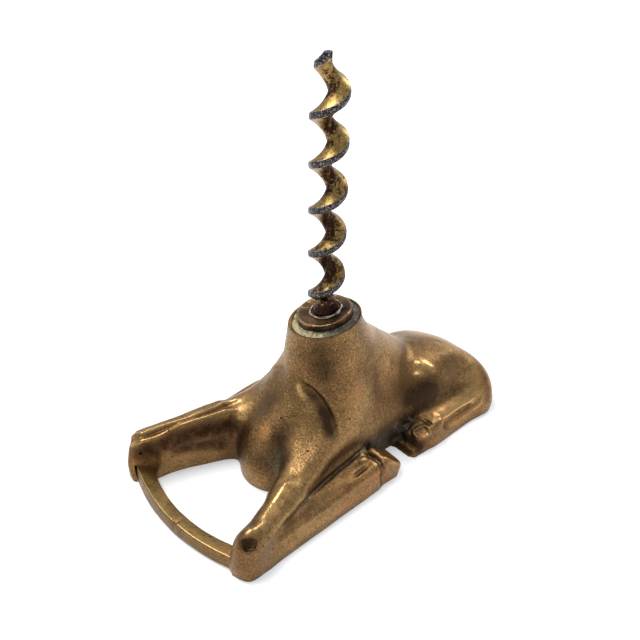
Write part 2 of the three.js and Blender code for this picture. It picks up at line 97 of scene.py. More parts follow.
forms = [
    # neck, withers, trunk, chest, loins and haunch
    taper((0, 0, 1.1), (0.005, 0, 0.55), (0.374, 0.464), 0),
    taper((-0.045, -0.02, 0.725), (-0.2, 0.02, 0.38), (0.4, 0.388), 0.24),
    limb((-0.02, 0.02, 0.075), (-0.27, 0.08, 0.05), (0.62, 0.375), (0.6, 0.2875), 0.36, 0.28),
    swelling((0.085, 0.02, 0.0625), (0.197, 0.552, 0.4875), 0.24),
    swelling((-0.33, 0.08, 0.075), (0.163, 0.64, 0.365), 0.2),
    swelling((-0.33, 0.38, 0.1375), (0.155, 0.58, 0.35), 0.16,
             yaw=4, flat=((-0.3, 0.756, 0.2), (0.04, 1, 0.09), 0.24)),
    # shoulders and fore legs, folded under
    swelling((0.025, 0.34, 0.325), (0.11, 0.252, 0.3), 0.22, pitch=-20, paired=True),
    limb((0.07, 0.344, 0.1375), (0.3, 0.704, 0.105),
         (0.272, 0.305), (0.168, 0.22), 0.168, 0.2, paired=True),
    limb((0.28, 0.696, 0.1), (0.45, 0.888, 0.06), (0.16, 0.225), (0.132, 0.22), 0.128, 0.1, paired=True),
    swelling((0.452, 0.888, 0.085), (0.05, 0.148, 0.225), 0.1, paired=True),
    limb((0.42, 0.852, 0.025), (0.469, 0.852, 0.025),
         (0.136, 0.125), (0.136, 0.125), 0.104, 0.06, paired=True),
    limb((0.24, -0.616, 0.125), (0.454, -0.884, 0.105), (0.152, 0.2375), (0.12, 0.2325), 0.072, 0.08),
    limb((0.2, 0.452, 0), (0.39, 0.808, 0), (0.088, 0.09), (0.056, 0.065), 0.056, 0.12, paired=True),
    limb((0.42, 0.904, 0.005), (0.04, 0.9, 0.005),
         (0.108, 0.165), (0.116, 0.19), 0.096, 0.056, paired=True),
    limb((0.42, 0.912, 0), (0.04, 0.916, 0), (0.112, 0.085), (0.1, 0.09), 0.064, 0.08, paired=True),
    limb((0.02, 0.86, 0.035), (-0.03, 0.87, -0.01),
         (0.155, 0.165), (0.155, 0.125), 0.06, 0.03, paired=True),
    limb((0.478, 0.956, 0.05), (0.486, 0.8, 0.02), (0.034, 0.08), (0.026, 0.045), 0.024, 0.1, paired=True),
    limb((0.3, 0.76, 0.1), (0.04, 0.66, 0.09), (0.11, 0.1), (0.13, 0.105), 0.096, 0.12, paired=True),
    limb((0.06, 0.7, 0.08), (-0.022, 0.74, 0.03), (0.12, 0.09), (0.1, 0.075), 0.07, 0.08, paired=True),
    # hind legs, folded along the ground
    limb((-0.42, 0.792, 0.0125), (-0.21, 0.808, 0.0125), (0.112, 0.195), (0.104, 0.17), 0.096, 0.08),
    limb((-0.42, 0.824, 0), (-0.2, 0.832, 0), (0.176, 0.09), (0.16, 0.085), 0.104, 0.12),
    limb((-0.23, 0.82, 0.0075), (-0.16, 0.83, -0.0125), (0.165, 0.18), (0.13, 0.135), 0.072, 0.03),
    limb((-0.26, 0.8, 0), (-0.128, 0.79, 0), (0.17, 0.07), (0.18, 0.05), 0.04, 0.06),
    swelling((-0.433, 0.68, 0.1125), (0.056, 0.296, 0.21), 0.24),
    limb((-0.38, -0.592, 0.0125), (-0.21, -0.688, 0.0125), (0.16, 0.165), (0.152, 0.15), 0.088, 0.064),
    limb((-0.21, -0.656, 0.0075), (-0.15, -0.68, -0.0125), (0.168, 0.165), (0.136, 0.12), 0.12, 0.04),
]


def spot(shares):
    along, across, up = shares
    return np.array((across * half_width, -along * casting_length, up * form_height))


def length(v):
    return np.sqrt((v * v).sum(-1))


def limit(values):
    return np.clip(values, 0, 1)


def soft_join(a, b, fillet):
    if fillet == 0:
        return np.minimum(a, b)
    nearness = np.maximum(fillet - np.abs(a - b), 0) / fillet
    return np.minimum(a, b) - nearness * nearness * fillet / 4


def turned(points, axis_a, axis_b, degrees):
    c, s = math.cos(math.radians(degrees)), math.sin(math.radians(degrees))
    out = points.copy()
    out[..., axis_a] = c * points[..., axis_a] - s * points[..., axis_b]
    out[..., axis_b] = s * points[..., axis_a] + c * points[..., axis_b]
    return out


def limb_axes(form):
    start, end = spot(form["at"]), spot(form["to"])
    run = end - start
    reach = np.linalg.norm(run)
    axis = run / reach
    side = np.cross((0, 0, 1), axis)
    side /= np.linalg.norm(side)
    return start, reach, axis, side, np.cross(axis, side)


def form_distance(form, points):
    """How far points lie outside a form, below 0 for those inside."""
    if form["kind"] == "taper":
        start, end = spot(form["at"]), spot(form["to"])
        run = end - start
        way = limit((points - start) @ run / (run @ run))
        from_radius, to_radius = (share * half_width for share in form["radii"])
        radius = from_radius + (to_radius - from_radius) * way
        return length(points - start - way[..., None] * run) - radius
    if form["kind"] == "limb":
        start, reach, axis, side, top = limb_axes(form)
        off = points - start
        run = off @ axis
        way = limit(run / reach)
        edge = form["edge"] * half_width
        (wide, high), (wide_to, high_to) = form["half"], form["half_to"]
        past_side = np.abs(off @ side) - ((wide + (wide_to - wide) * way) * half_width - edge)
        past_top = np.abs(off @ top) - ((high + (high_to - high) * way) * form_height - edge)
        past_end = np.maximum(np.maximum(-run, run - reach), 0)
        outside = np.sqrt(np.maximum(past_side, 0) ** 2 + np.maximum(past_top, 0) ** 2 + past_end ** 2)
        return outside + np.minimum(np.maximum(past_side, past_top), 0) - edge
    along, across, up = form["radii"]
    size = np.array((across * half_width, along * casting_length, up * form_height))
    local = turned(points - spot(form["at"]), 0, 1, -form["yaw"])
    local = turned(local, 1, 2, form["pitch"]) / size
    reach = length(local)
    whole = reach * (reach - 1) / np.maximum(length(local / size), 1e-9)
    if form["flat"] is None:
        return whole
    place, facing, fillet = form["flat"]
    outward = np.array((facing[1], -facing[0], facing[2]))
    outward /= np.linalg.norm(outward)
    return -soft_join(-whole, -(points - spot(place)) @ outward, fillet * half_width)


# a flat is pared on the right knee, over the bar's end, with the round of a large file
flat_heading = math.radians(38)
flat_facing = np.array((math.cos(flat_heading), -math.sin(flat_heading), 0))
file_radius = 11 * mm
file_place = spot((0.468, -0.836, 0.18)) + file_radius * flat_facing
# what is cast under the feet, and filed away
cast_spare = 2 * mm


def skin_distance(points):
    folded = points.copy()
    folded[..., 0] = np.abs(folded[..., 0])
    least = np.full(points.shape[:-1], 1.0)
    for form in forms:
        distance = form_distance(form, folded if form["paired"] else points)
        least = soft_join(least, distance, form["fillet"] * half_width)
    inside = soft_join(-least, length(points - file_place) - file_radius, 1.2 * mm)
    return -soft_join(inside, points[..., 2] + cast_spare, 1 * mm)


def slope(points, distance):
    probe = 0.05 * mm
    return np.stack([
        (skin_distance(points + probe * np.eye(3)[axis]) - distance) / probe for axis in range(3)
    ], -1)


def get_points(piece, what="co"):
    """The places of a piece's points or, with "normal", the ways that they face."""
    flat = np.empty(len(piece.data.vertices) * 3)
    piece.data.vertices.foreach_get(what, flat)
    return flat.reshape(-1, 3)


def set_points(piece, points):
    piece.data.vertices.foreach_set("co", points.ravel())
    piece.data.update()


def draw_onto_skin(piece, rounds, most):
    """Draws each point straight to the skin, by no more than the most in a round."""
    points = get_points(piece)
    for _ in range(rounds):
        distance = skin_distance(points)
        lean = slope(points, distance)
        step = -distance[..., None] * lean / np.maximum((lean * lean).sum(-1), 0.3)[..., None]
        step *= np.minimum(1, most / np.maximum(length(step), 1e-9))[..., None]
        points = points + step
    set_points(piece, points)


def relax(piece, which, share):
    """Moves the points that are picked a share of the way to the middle of their neighbours."""
    ends = np.empty(2 * len(piece.data.edges), dtype=int)
    piece.data.edges.foreach_get("vertices", ends)
    ends = ends.reshape(-1, 2)
    points = get_points(piece)
    middle = np.zeros_like(points)
    for a, b in ((0, 1), (1, 0)):
        for axis in range(3):
            middle[:, axis] += np.bincount(ends[:, a], points[ends[:, b], axis], len(points))
    middle /= np.maximum(np.bincount(ends.ravel(), minlength=len(points)), 1)[:, None]
    points[which] += share * (middle - points)[which]
    set_points(piece, points)


def pick(*pieces):
    bpy.ops.object.select_all(action="DESELECT")
    for piece in pieces:
        piece.select_set(True)
    bpy.context.view_layer.objects.active = pieces[-1]


def settle(piece, seat=None):
    """Puts a piece's place and size into its mesh, and the mesh into a seat where one is given."""
    pick(piece)
    bpy.ops.object.transform_apply(location=True, rotation=True, scale=True)
    if seat is not None:
        piece.data.transform(seat)
    return piece


def open_mesh(piece):
    """Opens a piece for shaping, with all of it selected."""
    pick(piece)
    bpy.ops.object.mode_set(mode="EDIT")
    bpy.ops.mesh.select_all(action="SELECT")


def close_mesh():
    bpy.ops.object.mode_set(mode="OBJECT")


def split(piece, cuts=1):
    open_mesh(piece)
    bpy.ops.mesh.subdivide(number_cuts=cuts)
    close_mesh()


def change(piece, kind, **settings):
    """Puts a modifier to work on a piece."""
    pick(piece)
    modifier = piece.modifiers.new("work", kind)
    for setting, value in settings.items():
        setattr(modifier, setting, value)
    bpy.ops.object.modifier_apply(modifier=modifier.name)


def remesh(piece, size):
    pick(piece)
    piece.data.remesh_voxel_size = size
    bpy.ops.object.voxel_remesh()


def smooth(piece, degrees):
    """Shades a piece smooth, apart from edges sharper than these degrees."""
    pick(piece)
    bpy.ops.object.shade_smooth_by_angle(angle=math.radians(degrees))


def add_form(form, mirrored):
    """Puts down a form's rough lumps, which are drawn onto its true skin later."""
    def place_of(shares):
        x, y, z = spot(shares)
        return Vector((-x if mirrored else x, y, z))

    if form["kind"] == "swelling":
        along, across, up = form["radii"]
        bpy.ops.mesh.primitive_uv_sphere_add(
            segments=32, ring_count=16, radius=1, location=place_of(form["at"]),
        )
        bpy.context.object.scale = (across * half_width, along * casting_length, up * form_height)
        return [bpy.context.object]
    ends = [place_of(form["at"]), place_of(form["to"])]
    run = ends[1] - ends[0]
    made = []
    if form["kind"] == "taper":
        radii = [share * half_width for share in form["radii"]]
        for end, radius in zip(ends, radii):
            bpy.ops.mesh.primitive_uv_sphere_add(segments=32, ring_count=16, radius=radius, location=end)
            made.append(bpy.context.object)
        bpy.ops.mesh.primitive_cone_add(
            vertices=32, radius1=radii[0], radius2=radii[1], depth=run.length,
            location=(ends[0] + ends[1]) / 2, rotation=run.to_track_quat("Z", "Y").to_euler(),
        )
        return made + [bpy.context.object]
    wide, high = ((a + b) / 2 for a, b in zip(form["half"], form["half_to"]))
    edge = form["edge"] * half_width
    bpy.ops.mesh.primitive_cube_add(
        size=2, location=(ends[0] + ends[1]) / 2, rotation=run.to_track_quat("Y", "Z").to_euler(),
    )
    bpy.context.object.scale = (wide * half_width, run.length / 2 + edge / 2, high * form_height)
    return [bpy.context.object]


def block(size_x, size_y, low, high, seat=None):
    bpy.ops.mesh.primitive_cube_add(size=1, location=(0, 0, (low + high) / 2))
    bpy.context.object.scale = (size_x, size_y, high - low)
    return settle(bpy.context.object, seat)


def rod(radius, low, high, x=0, y=0, seat=None, steps=96):
    bpy.ops.mesh.primitive_cylinder_add(
        vertices=steps, radius=radius, depth=high - low, location=(x, y, (low + high) / 2),
    )
    return settle(bpy.context.object, seat)


def work_in(piece, other, operation):
    """Cuts another piece out of a piece, or welds it on."""
    change(piece, "BOOLEAN", operation=operation, solver="EXACT", object=other)
    pick(other)
    bpy.ops.object.delete()


def cut_with(piece, *cutters):
    """Takes the cutters away from a piece; cutters of one call don't touch each other."""
    pick(*cutters)
    if len(cutters) > 1:
        bpy.ops.object.join()
    work_in(piece, bpy.context.object, "DIFFERENCE")


bpy.ops.object.select_all(action="DESELECT")
lumps = []
for form in forms:
    lumps += add_form(form, False)
    if form["paired"]:
        lumps += add_form(form, True)
for lump in lumps:
    settle(lump)
    open_mesh(lump)
    bpy.ops.mesh.bisect(plane_co=(0, 0, -cast_spare), plane_no=(0, 0, 1), use_fill=True, clear_inner=True)
    close_mesh()
pick(*lumps)
bpy.ops.object.join()
casting = bpy.context.object
casting.name = "casting_skin"

rough_mesh = 0.8 * mm
skin_mesh = 0.42 * mm
everywhere = slice(None)
remesh(casting, rough_mesh)
draw_onto_skin(casting, 6, 0.5 * mm)
relax(casting, everywhere, 0.5)
draw_onto_skin(casting, 3, 0.5 * mm)
remesh(casting, skin_mesh)
draw_onto_skin(casting, 3, 0.3 * mm)
relax(casting, everywhere, 0.5)
draw_onto_skin(casting, 2, 0.3 * mm)

# lines on the skin, as points of millimetres to the front, to the animal's left and up
crescent_line = [
    (11.5, 2.3, 26), (11.1, 3.4, 26.7), (10.3, 6, 25.9), (9.8, 9.2, 24.2), (9.6, 11.4, 22.1),
    (9.6, 13, 20), (10.2, 14.5, 17.9), (12, 15.5, 16),
]
crescent_glint = [(11.7, 2.1, 25.6), (11.8, 3.4, 24.7), (11.9, 5, 23.8)]
crest_glint = [(10.3, 5.6, 26.3), (10, 6.6, 25.9), (9.8, 7.4, 25.4)]
far_shade = [
    (45.2, -19.5, 10.3), (40.4, -17, 11.2), (35.1, -15.1, 11.7), (30.1, -13, 11.8), (24.7, -10.3, 11.4),
]
shank_groove = [
    (36.5, 23.6, 8.4), (33.1, 22.8, 8.5), (29.4, 22.4, 9.6), (23.9, 20.8, 8.6), (18.4, 19.7, 8.3),
    (12.7, 18.8, 8.1), (7.1, 18.4, 8.1), (1.5, 17.4, 7.9),
]
fore_coronet = [(2.5, 17.7, 8.1), (2.1, 18.9, 7.4), (1.9, 20.5, 6.9), (1.6, 22.1, 7)]
coronet_side = [(1.8, 23.5, 6.9), (2.7, 24.7, 6.5), (2.8, 25.2, 4.2), (3, 25.6, 2.6), (3, 25.7, 0)]
# what is chased: width, height, whether the other side has it as well, and the line
chased = {
    "crescent_glint": (0.5, 0.4, False, crescent_glint),
    "shank_groove": (0.5, -0.65, True, shank_groove),
    "hoof_ridge": (0.6, 0.4, True, [
        (0.3, 17, 7.1), (0.5, 20.2, 7.7), (0.4, 23.4, 7.7), (-1.4, 24.8, 6.4), (-3.7, 25.4, 4.2),
    ]),
    "fore_coronet": (0.4, -0.55, True, fore_coronet),
    "coronet_pit": (0.55, -0.6, True, [(1.6, 22.7, 7.1), (1.7, 23.4, 7)]),
    "coronet_side": (0.4, -0.6, True, coronet_side),
    "pastern_ridge": (0.6, 0.45, True, [(3.9, 18.5, 8), (4.3, 19.8, 7.6), (4.3, 21.5, 7.8)]),
    "pastern_groove": (0.5, -0.3, True, [(5.8, 18.2, 8.2), (6.3, 19.6, 7.8), (6.7, 21, 7.7)]),
    "shank_streak": (0.6, -0.5, True, [
        (11.6, 23.2, 7.5), (8.8, 22.7, 7.7), (6, 22.6, 7.7), (4.8, 22.5, 7.8),
    ]),
    "shank_hollow": (1.1, -0.25, True, [
        (30.9, 24.2, 6.7), (26.2, 23.7, 7), (20.3, 23.3, 7.1), (12.5, 23.9, 7.1),
    ]),
    "forearm_ridge": (1, 0.5, True, [
        (47.1, 22, 12), (44.4, 22.4, 12.5), (41.6, 21.6, 11.8), (38.5, 20.3, 11.9), (35.2, 19, 12.3),
        (31.4, 18, 13.4), (27.5, 16.6, 13.9),
    ]),
    "far_tendon": (0.6, 0.6, False, [
        (48.4, -24.6, 10.4), (47.2, -24, 12.4), (45.5, -21.9, 13.6), (40.6, -20.9, 13.7),
        (36.2, -19.3, 13.9), (32.6, -17.9, 14.3), (27.2, -16.5, 14.7), (22.3, -15.7, 14.8),
        (18.1, -13.5, 15.6),
    ]),
    "far_groove": (0.7, -0.4, False, [
        (47.7, -21.9, 12.6), (44.2, -20.4, 13.6), (38.8, -18.9, 13.8), (34.3, -17.8, 14.1),
        (29.7, -16.3, 14.5), (25, -14.8, 14.8), (20.8, -14.1, 15),
    ]),
    "far_edge": (0.6, 0.6, False, [
        (49, -23.2, 10.5), (46.9, -20.2, 13.1), (43, -18.7, 13.2), (40.9, -18.3, 13.5),
        (36.2, -17.9, 14), (32.4, -16.4, 14.2), (28.6, -14.7, 14.5), (24.5, -13.3, 14.8),
        (21, -11.2, 15),
    ]),
    "far_foot": (1.6, -0.5, False, [
        (41, -16.9, 7.6), (35.8, -15, 7.3), (29.5, -12.2, 6.4), (25.5, -9.8, 5),
    ]),
    "stifle_top": (1.1, 0.5, False, [
        (-25.5, 9.7, 18.9), (-26.9, 11.6, 18.5), (-27.9, 14.2, 17.7), (-29.6, 15.9, 16.7),
    ]),
    "stifle_foot": (0.8, 0.45, False, [(-22.8, 12, 17), (-24.2, 13.5, 16.8), (-26.3, 14.5, 16.9)]),
    "hind_ridge": (1, 0.6, False, [
        (-38.3, 23.7, 6.8), (-34.9, 22.9, 5.8), (-30.6, 22.6, 6.1), (-26.9, 22.8, 5.8),
        (-22.8, 23.6, 7.2),
    ]),
    "hind_groove": (1.4, -0.22, False, [
        (-37.8, 23.9, 5.3), (-35, 23.4, 4.5), (-31.5, 23.3, 4.3), (-28, 23.2, 4.4), (-23.5, 24.2, 6),
    ]),
    "hind_edge": (0.9, 0.3, False, [
        (-41, 25, 5.2), (-38.1, 24.6, 4), (-34, 24, 3.4), (-28.7, 23.8, 3.4), (-23.9, 24.7, 4.8),
    ]),
    "hind_coronet": (0.3, -0.4, False, [
        (-19.1, 19.2, 6.5), (-19.1, 20.5, 6.6), (-19.5, 21.8, 6.5), (-19.7, 22.9, 6.4),
        (-19.7, 23.9, 5.8),
    ]),
    "hind_coronet_rear": (0.3, -0.4, False, [
        (-19.9, 19.2, 7), (-20, 20.5, 7.1), (-20.2, 21.9, 6.8), (-20.4, 23.1, 6.5), (-20.4, 24, 5.8),
    ]),
    "hoof_ring": (0.45, 0.6, False, [
        (-15.7, 20.1, 5), (-17.4, 20.6, 5.7), (-18.6, 21.5, 6.2), (-18.7, 22.8, 6.1),
        (-18.5, 23.6, 5.8), (-17.9, 24, 5), (-16.6, 23.7, 4.7), (-15.4, 23.2, 4.6), (-14.8, 22.1, 4.7),
        (-15, 20.9, 4.8), (-15.7, 20.1, 5),
    ]),
    "hoof_hollow": (0.8, -0.4, False, [(-16, 21.4, 5), (-17.5, 22.4, 5.6)]),
    "tail_line": (1.3, -0.25, False, [
        (-44.2, 18.4, 13.6), (-43.9, 21.3, 11.7), (-43, 23.9, 9.3), (-42.6, 25.2, 6.1),
        (-42.1, 25.9, 2.8),
    ]),
}


def each_chased():
    """Each chased line with its width and height, once for every side that has it."""
    for width, height, both, line in chased.values():
        for mirrored in (False, True) if both else (False,):
            yield line, width, height, mirrored


def from_line(points, line, mirrored=False):
    """How far each point lies from a line, the way from it, and how far along from its ends."""
    corners = np.array([(across, -front, up) for front, across, up in line]) * mm
    if mirrored:
        corners[:, 0] *= -1
    runs = corners[1:] - corners[:-1]
    starts = np.concatenate(([0], np.cumsum(length(runs))))
    nearest = np.full(len(points), 1.0)
    way_off = np.zeros_like(points)
    along = np.zeros(len(points))
    for a, run, start in zip(corners[:-1], runs, starts[:-1]):
        share = limit((points - a) @ run / max(run @ run, 1e-12))
        off = points - a - share[:, None] * run
        far = length(off)
        closer = far < nearest
        nearest[closer] = far[closer]
        way_off[closer] = off[closer]
        along[closer] = start + share[closer] * np.linalg.norm(run)
    if line[0] == line[-1]:
        return nearest, way_off, np.ones(len(points))
    return nearest, way_off, np.minimum(along, starts[-1] - along)


def bell(far, width):
    """One at the place itself, falling softly to nothing past the width."""
    return np.exp(-(far / width) ** 2)


def fading(points, line, mirrored, width):
    """One on a line, falling to nothing past its width and over its last two millimetres."""
    far, _, to_end = from_line(points, line, mirrored)
    return bell(far, width * mm) * np.clip(to_end / (2 * mm), 0.1, 1)


def ripple(points, count, shortest, longest, seed):
    """Soft unevenness between about -1 and 1, as a casting keeps it under the file."""
    rng = np.random.default_rng(seed)
    total = np.zeros(len(points))
    for _ in range(count):
        way = rng.normal(size=3)
        way /= np.linalg.norm(way)
        wave = rng.uniform(shortest, longest)
        total += np.sin(points @ way * 2 * math.pi / wave + rng.uniform(0, 2 * math.pi))
    return total / math.sqrt(count)


# the skin gets a finer mesh where a narrow line is chased into it
narrow = 0.8
points = get_points(casting)
near_lines = from_line(points, crescent_line)[0] < 2.6 * mm
for line, width, height, mirrored in each_chased():
    if width < narrow:
        near_lines |= from_line(points, line, mirrored)[0] < 2.2 * width * mm
corners = np.empty(4 * len(casting.data.polygons), dtype=int)
casting.data.loops.foreach_get("vertex_index", corners)
open_mesh(casting)
bpy.ops.mesh.select_mode(type="FACE")
bpy.ops.mesh.select_all(action="DESELECT")
close_mesh()
casting.data.polygons.foreach_set("select", near_lines[corners.reshape(-1, 4)].any(1))
bpy.ops.object.mode_set(mode="EDIT")
bpy.ops.mesh.subdivide(number_cuts=1)
bpy.ops.mesh.select_mode(type="VERT")
close_mesh()
draw_onto_skin(casting, 2, 0.2 * mm)

# the crescent is steep on its rear side, with a crest behind, and runs out wide to the chest
crescent_depth = 1.1
crescent_crest = 0.4
crescent_width = 3 * mm
crescent_steep = 0.8 * mm
far_side_share = 0.3
points = get_points(casting)
outward = slope(points, skin_distance(points))
outward /= length(outward)[:, None]
rise = np.zeros(len(points))
for line, width, height, mirrored in each_chased():
    rise += height * mm * fading(points, line, mirrored, width)
for mirrored, strength in ((False, 1), (True, far_side_share)):
    far, off, to_end = from_line(points, crescent_line, mirrored)
    chest_side = 0.5 + 0.5 * np.tanh(off @ np.array((0.5 if mirrored else -0.5, -0.87, 0)) / (0.6 * mm))
    valley = chest_side * bell(far, crescent_width) + (1 - chest_side) * bell(far, crescent_steep)
    crest = (1 - chest_side) * bell(far - 1.3 * mm, crescent_steep)
    rise += strength * mm * limit(to_end / (6 * mm)) * (crescent_crest * crest - crescent_depth * valley)
swells = 0.05 * mm * ripple(points, 12, 7 * mm, 16 * mm, 4)
file_marks = 0.02 * mm * ripple(points, 16, 2.5 * mm, 5 * mm, 9)
rise += swells + file_marks
points += rise[:, None] * outward
points[:, 0] = np.clip(points[:, 0], cad_box[0][0], cad_box[1][0])
set_points(casting, points)
# where the skin has folded over, it is eased out again
for _ in range(4):
    relax(casting, (get_points(casting, "normal") * outward).sum(-1) < 0.4, 0.7)

# the file and the saw: flat underneath, and at a slight lean across the neck, where a ledge
# and a bore take the plug
collar_height = 41.5 * mm
collar_normal = Vector((-math.tan(math.radians(8.9)), -math.tan(math.radians(7.6)), 1)).normalized()
collar_turn = Vector((0, 0, 1)).rotation_difference(collar_normal).to_matrix().to_4x4()
collar_frame = Matrix.Translation((0, 0, collar_height)) @ collar_turn
rim_radius = 9.75 * mm
rim_wall = 0.65 * mm
ledge_depth = 0.9 * mm
spigot_radius = 5.7 * mm
seat_gap = 0.3 * mm

cut_with(
    casting,
    block(3 * half_width, 2 * casting_length, -half_width, 0),
    block(3 * half_width, 3 * half_width, 0, half_width, collar_frame),
)

# the slot that takes the bar, which is bent to a bow
bar_half_span = 24.5 * mm
bar_front = 53.4 * mm
bar_middle_width = 4.2 * mm
bar_outer_rise = 5.3 * mm
bar_inner_rise = 6.8 * mm
bar_foot = 0.3 * mm
bar_height = 4 * mm
bar_bevel_drop = 0.9 * mm
bar_face_lean = 0.4 * mm
slot_fit = 0.06 * mm


def strap(steps, low, high, fit=0, lean=0):
    """A strap bent to a bow; fit is what it has to spare all round, lean how far its front leans."""
    bpy.ops.object.select_all(action="DESELECT")
    bpy.ops.mesh.primitive_grid_add(x_subdivisions=steps, y_subdivisions=1, size=2)
    piece = bpy.context.object
    open_mesh(piece)
    bpy.ops.mesh.extrude_region_move(TRANSFORM_OT_translate={"value": (0, 0, 2)})
    bpy.ops.mesh.select_all(action="SELECT")
    bpy.ops.mesh.normals_make_consistent(inside=False)
    close_mesh()
    points = get_points(piece)
    share = points[:, 0].copy()
    at_rear = points[:, 1] > 0
    at_top = points[:, 2] > 1
    front = bar_front - bar_outer_rise * share ** 2
    rear = bar_front - bar_middle_width - bar_inner_rise * share ** 2
    back = np.where(at_rear, 1 + fit / bar_middle_width, (at_top * lean - fit) / bar_middle_width)
    points[:, 0] = share * (bar_half_span + fit)
    points[:, 1] = -(front + (rear - front) * back)
    points[:, 2] = np.where(at_top, np.where(at_rear, high - bar_bevel_drop, high), low)
    set_points(piece, points)
    return piece


bar_top = bar_foot + bar_height
slot = strap(48, -1 * mm, bar_top + slot_fit, fit=slot_fit)

# a pit with dirt in it over the left knee, and a blow hole in the flat over the bar's far end
pit_place = Vector((24.2, -47.2, 11)) * mm
pit_half_size = (1.95, 1.5, 1.4)
pit_sink = 0.7
pit_out = Vector((0.57, -0.43, 0.63)).normalized()
pit_along = pit_out.cross(Vector((0.6, 0.8, 0.03)).cross(pit_out)).normalized()
pit_up = pit_out.cross(pit_along)
bpy.ops.mesh.primitive_ico_sphere_add(subdivisions=5, radius=1)
pit = bpy.context.object
points = get_points(pit)
points /= (np.abs(points) ** 5).sum(-1)[:, None] ** 0.2
points *= (1 + 0.1 * ripple(points, 8, 0.8, 2.5, 3))[:, None]
points[:, 0] *= 1 - 0.3 * limit(-points[:, 1])
set_points(pit, points * np.array(pit_half_size) * mm + np.array((0, 0, pit_sink)) * mm)
pit_turn = Matrix((pit_along, pit_up, pit_out)).transposed().to_4x4()
pit.data.transform(Matrix.Translation(pit_place) @ pit_turn)
pin_x = bar_half_span - 2.1 * mm
pin_y = -45.4 * mm
pin_top = 9.4 * mm
cut_with(casting, rod(rim_radius - rim_wall, -ledge_depth, 5 * mm, seat=collar_frame, steps=160), slot, pit)
pin_hole_radius = 1.4 * mm
cut_with(
    casting,
    rod(spigot_radius + seat_gap, -12.5 * mm, 1 * mm, seat=collar_frame),
    *(rod(pin_hole_radius, -1 * mm, pin_top + seat_gap, side * pin_x, pin_y, steps=32) for side in (-1, 1)),
)
blow_hole = rod(0.42 * mm, -1.2 * mm, 1.5 * mm, steps=16)
blow_hole.data.transform(
    Matrix.Translation(Vector((-21.6, -47, 8.2)) * mm)
    @ Matrix.Rotation(-flat_heading, 4, "Z") @ Matrix.Rotation(math.radians(90), 4, "Y")
)
cut_with(casting, blow_hole)

smooth(casting, 38)

# how deep each place of the skin lies among its neighbours, which paints shade and patina into its hollows,
# and where tarnish with painted shade and painted glints, red copper, pale residue and raw cast skin are;
# kept on the mesh for the finish
points = get_points(casting)
outward = get_points(casting, "normal")
hollow = np.zeros(len(points))
# painted shade: a place hemmed in by skin nearby is darker, standing for shade as well as patina
for reach, weight in ((1 * mm, 0.3), (2.5 * mm, 0.35), (6 * mm, 0.35)):
    clear = limit(skin_distance(points + outward * reach) / reach)
    hollow += weight * (1 - clear)
# raised chased lines get a painted highlight, and cut ones painted shade
for line, width, height, mirrored in each_chased():
    hollow -= 1.1 * height * fading(points, line, mirrored, width)
# painted shade on the chest side of the crescent
far, off, to_end = from_line(points, crescent_line)
chest_side = 0.5 + 0.5 * np.tanh(off @ np.array((-0.5, -0.87, 0)) / (0.5 * mm))
hollow += chest_side * bell(far, 1.8 * mm) * limit(to_end / (5 * mm))
upright = limit(1 - outward[:, 2])


def patches(points, start, rows):
    """Adds soft patches to a start; a row is a reach, a strength, and a place or a line of them."""
    total = np.full(len(points), float(start))
    for reach, strength, *line in rows:
        far, _, _ = from_line(points, line if len(line) > 1 else line * 2)
        total += strength * bell(far, reach * mm)
    return total


def keep(piece, name, values):
    layer = piece.data.attributes.new(name, "FLOAT", "POINT")
    layer.data.foreach_set("value", np.clip(values, -0.6, 1.3).astype(np.float32))


keep(casting, "hollow", hollow)
# tarnish, mostly painted: standing faces get painted shade, patches of strength above nothing paint shade
# and dark reflections, and those below it paint highlights
keep(casting, "tarnish", 0.22 * upright + patches(points, 0, [
    (4.4, 0.8, (-20, 15.5, 12), (-24.5, 16.5, 12.5)),
    (4, 0.45, (-24, 18, 11), (-33, 19.5, 10)),
    (3, -0.45, (-24, 21, 7.5), (-37, 22.8, 7.3)),
    (4, -0.3, (-40.4, 19.2, 13)),
    (2.8, 0.75, *far_shade),
    (2.5, 0.4, (47.3, -21.3, 8)),
    (3, 0.35, (7.6, 7.9, 30.9)),
    (4, 0.35, (7.6, 6.7, 37.7), (7.2, 7.5, 34)),
    (5, 0.2, (9, 5, 35)),
    (5, -0.2, (-13, 9.6, 24), (1, 14.7, 19.4)),
    (5, 0.75, (-9, 16, 4), (-16, 17, 4)),
    (4, 0.4, (26, 3, 9)),
    (4, 0.55, (17.9, 3.9, 19), (17.6, -4, 19.8)),
    (3, 0.65, (24, 9, 12), (21.5, 5.5, 15.5)),
    (3.5, 0.28, (20.5, 13.5, 15), (17.4, 12, 16.6)),
    (1.5, 0.5, (10.7, 11, 21.9), (11, 12.8, 19.7), (11.8, 14.2, 17.8)),
    (5, 0.28, (-33, 7.6, 19.6), (-36, 12, 19)),
    (4, 0.2, (-28, 8, 20.5)),
    # painted glints on the crescent's crest and in the armpit, and a pale spot on the brisket
    (0.7, -0.9, *crescent_glint),
    (0.7, -0.8, *crest_glint),
    (1.4, -0.6, (22.7, 1.3, 16)),
    (0.6, -1, (22.5, -9.6, 13.5), (21.6, -8.3, 13.8)),
    (3, 0.3, (-34.8, 11.8, 19.2)),
    (1.6, 0.35, (-21.5, 21.5, 7.6)),
    (6, 0.22, (47, 24, 7)),
    (4, 0.18, (12.5, 22.5, 7.6), (20, 22, 7.6)),
    (1.6, 1, (46.9, 23.2, 10.6)),
    (2, 0.8, (-14.3, 23.7, 2.4), (-13.8, 22, 2.8)),
]))
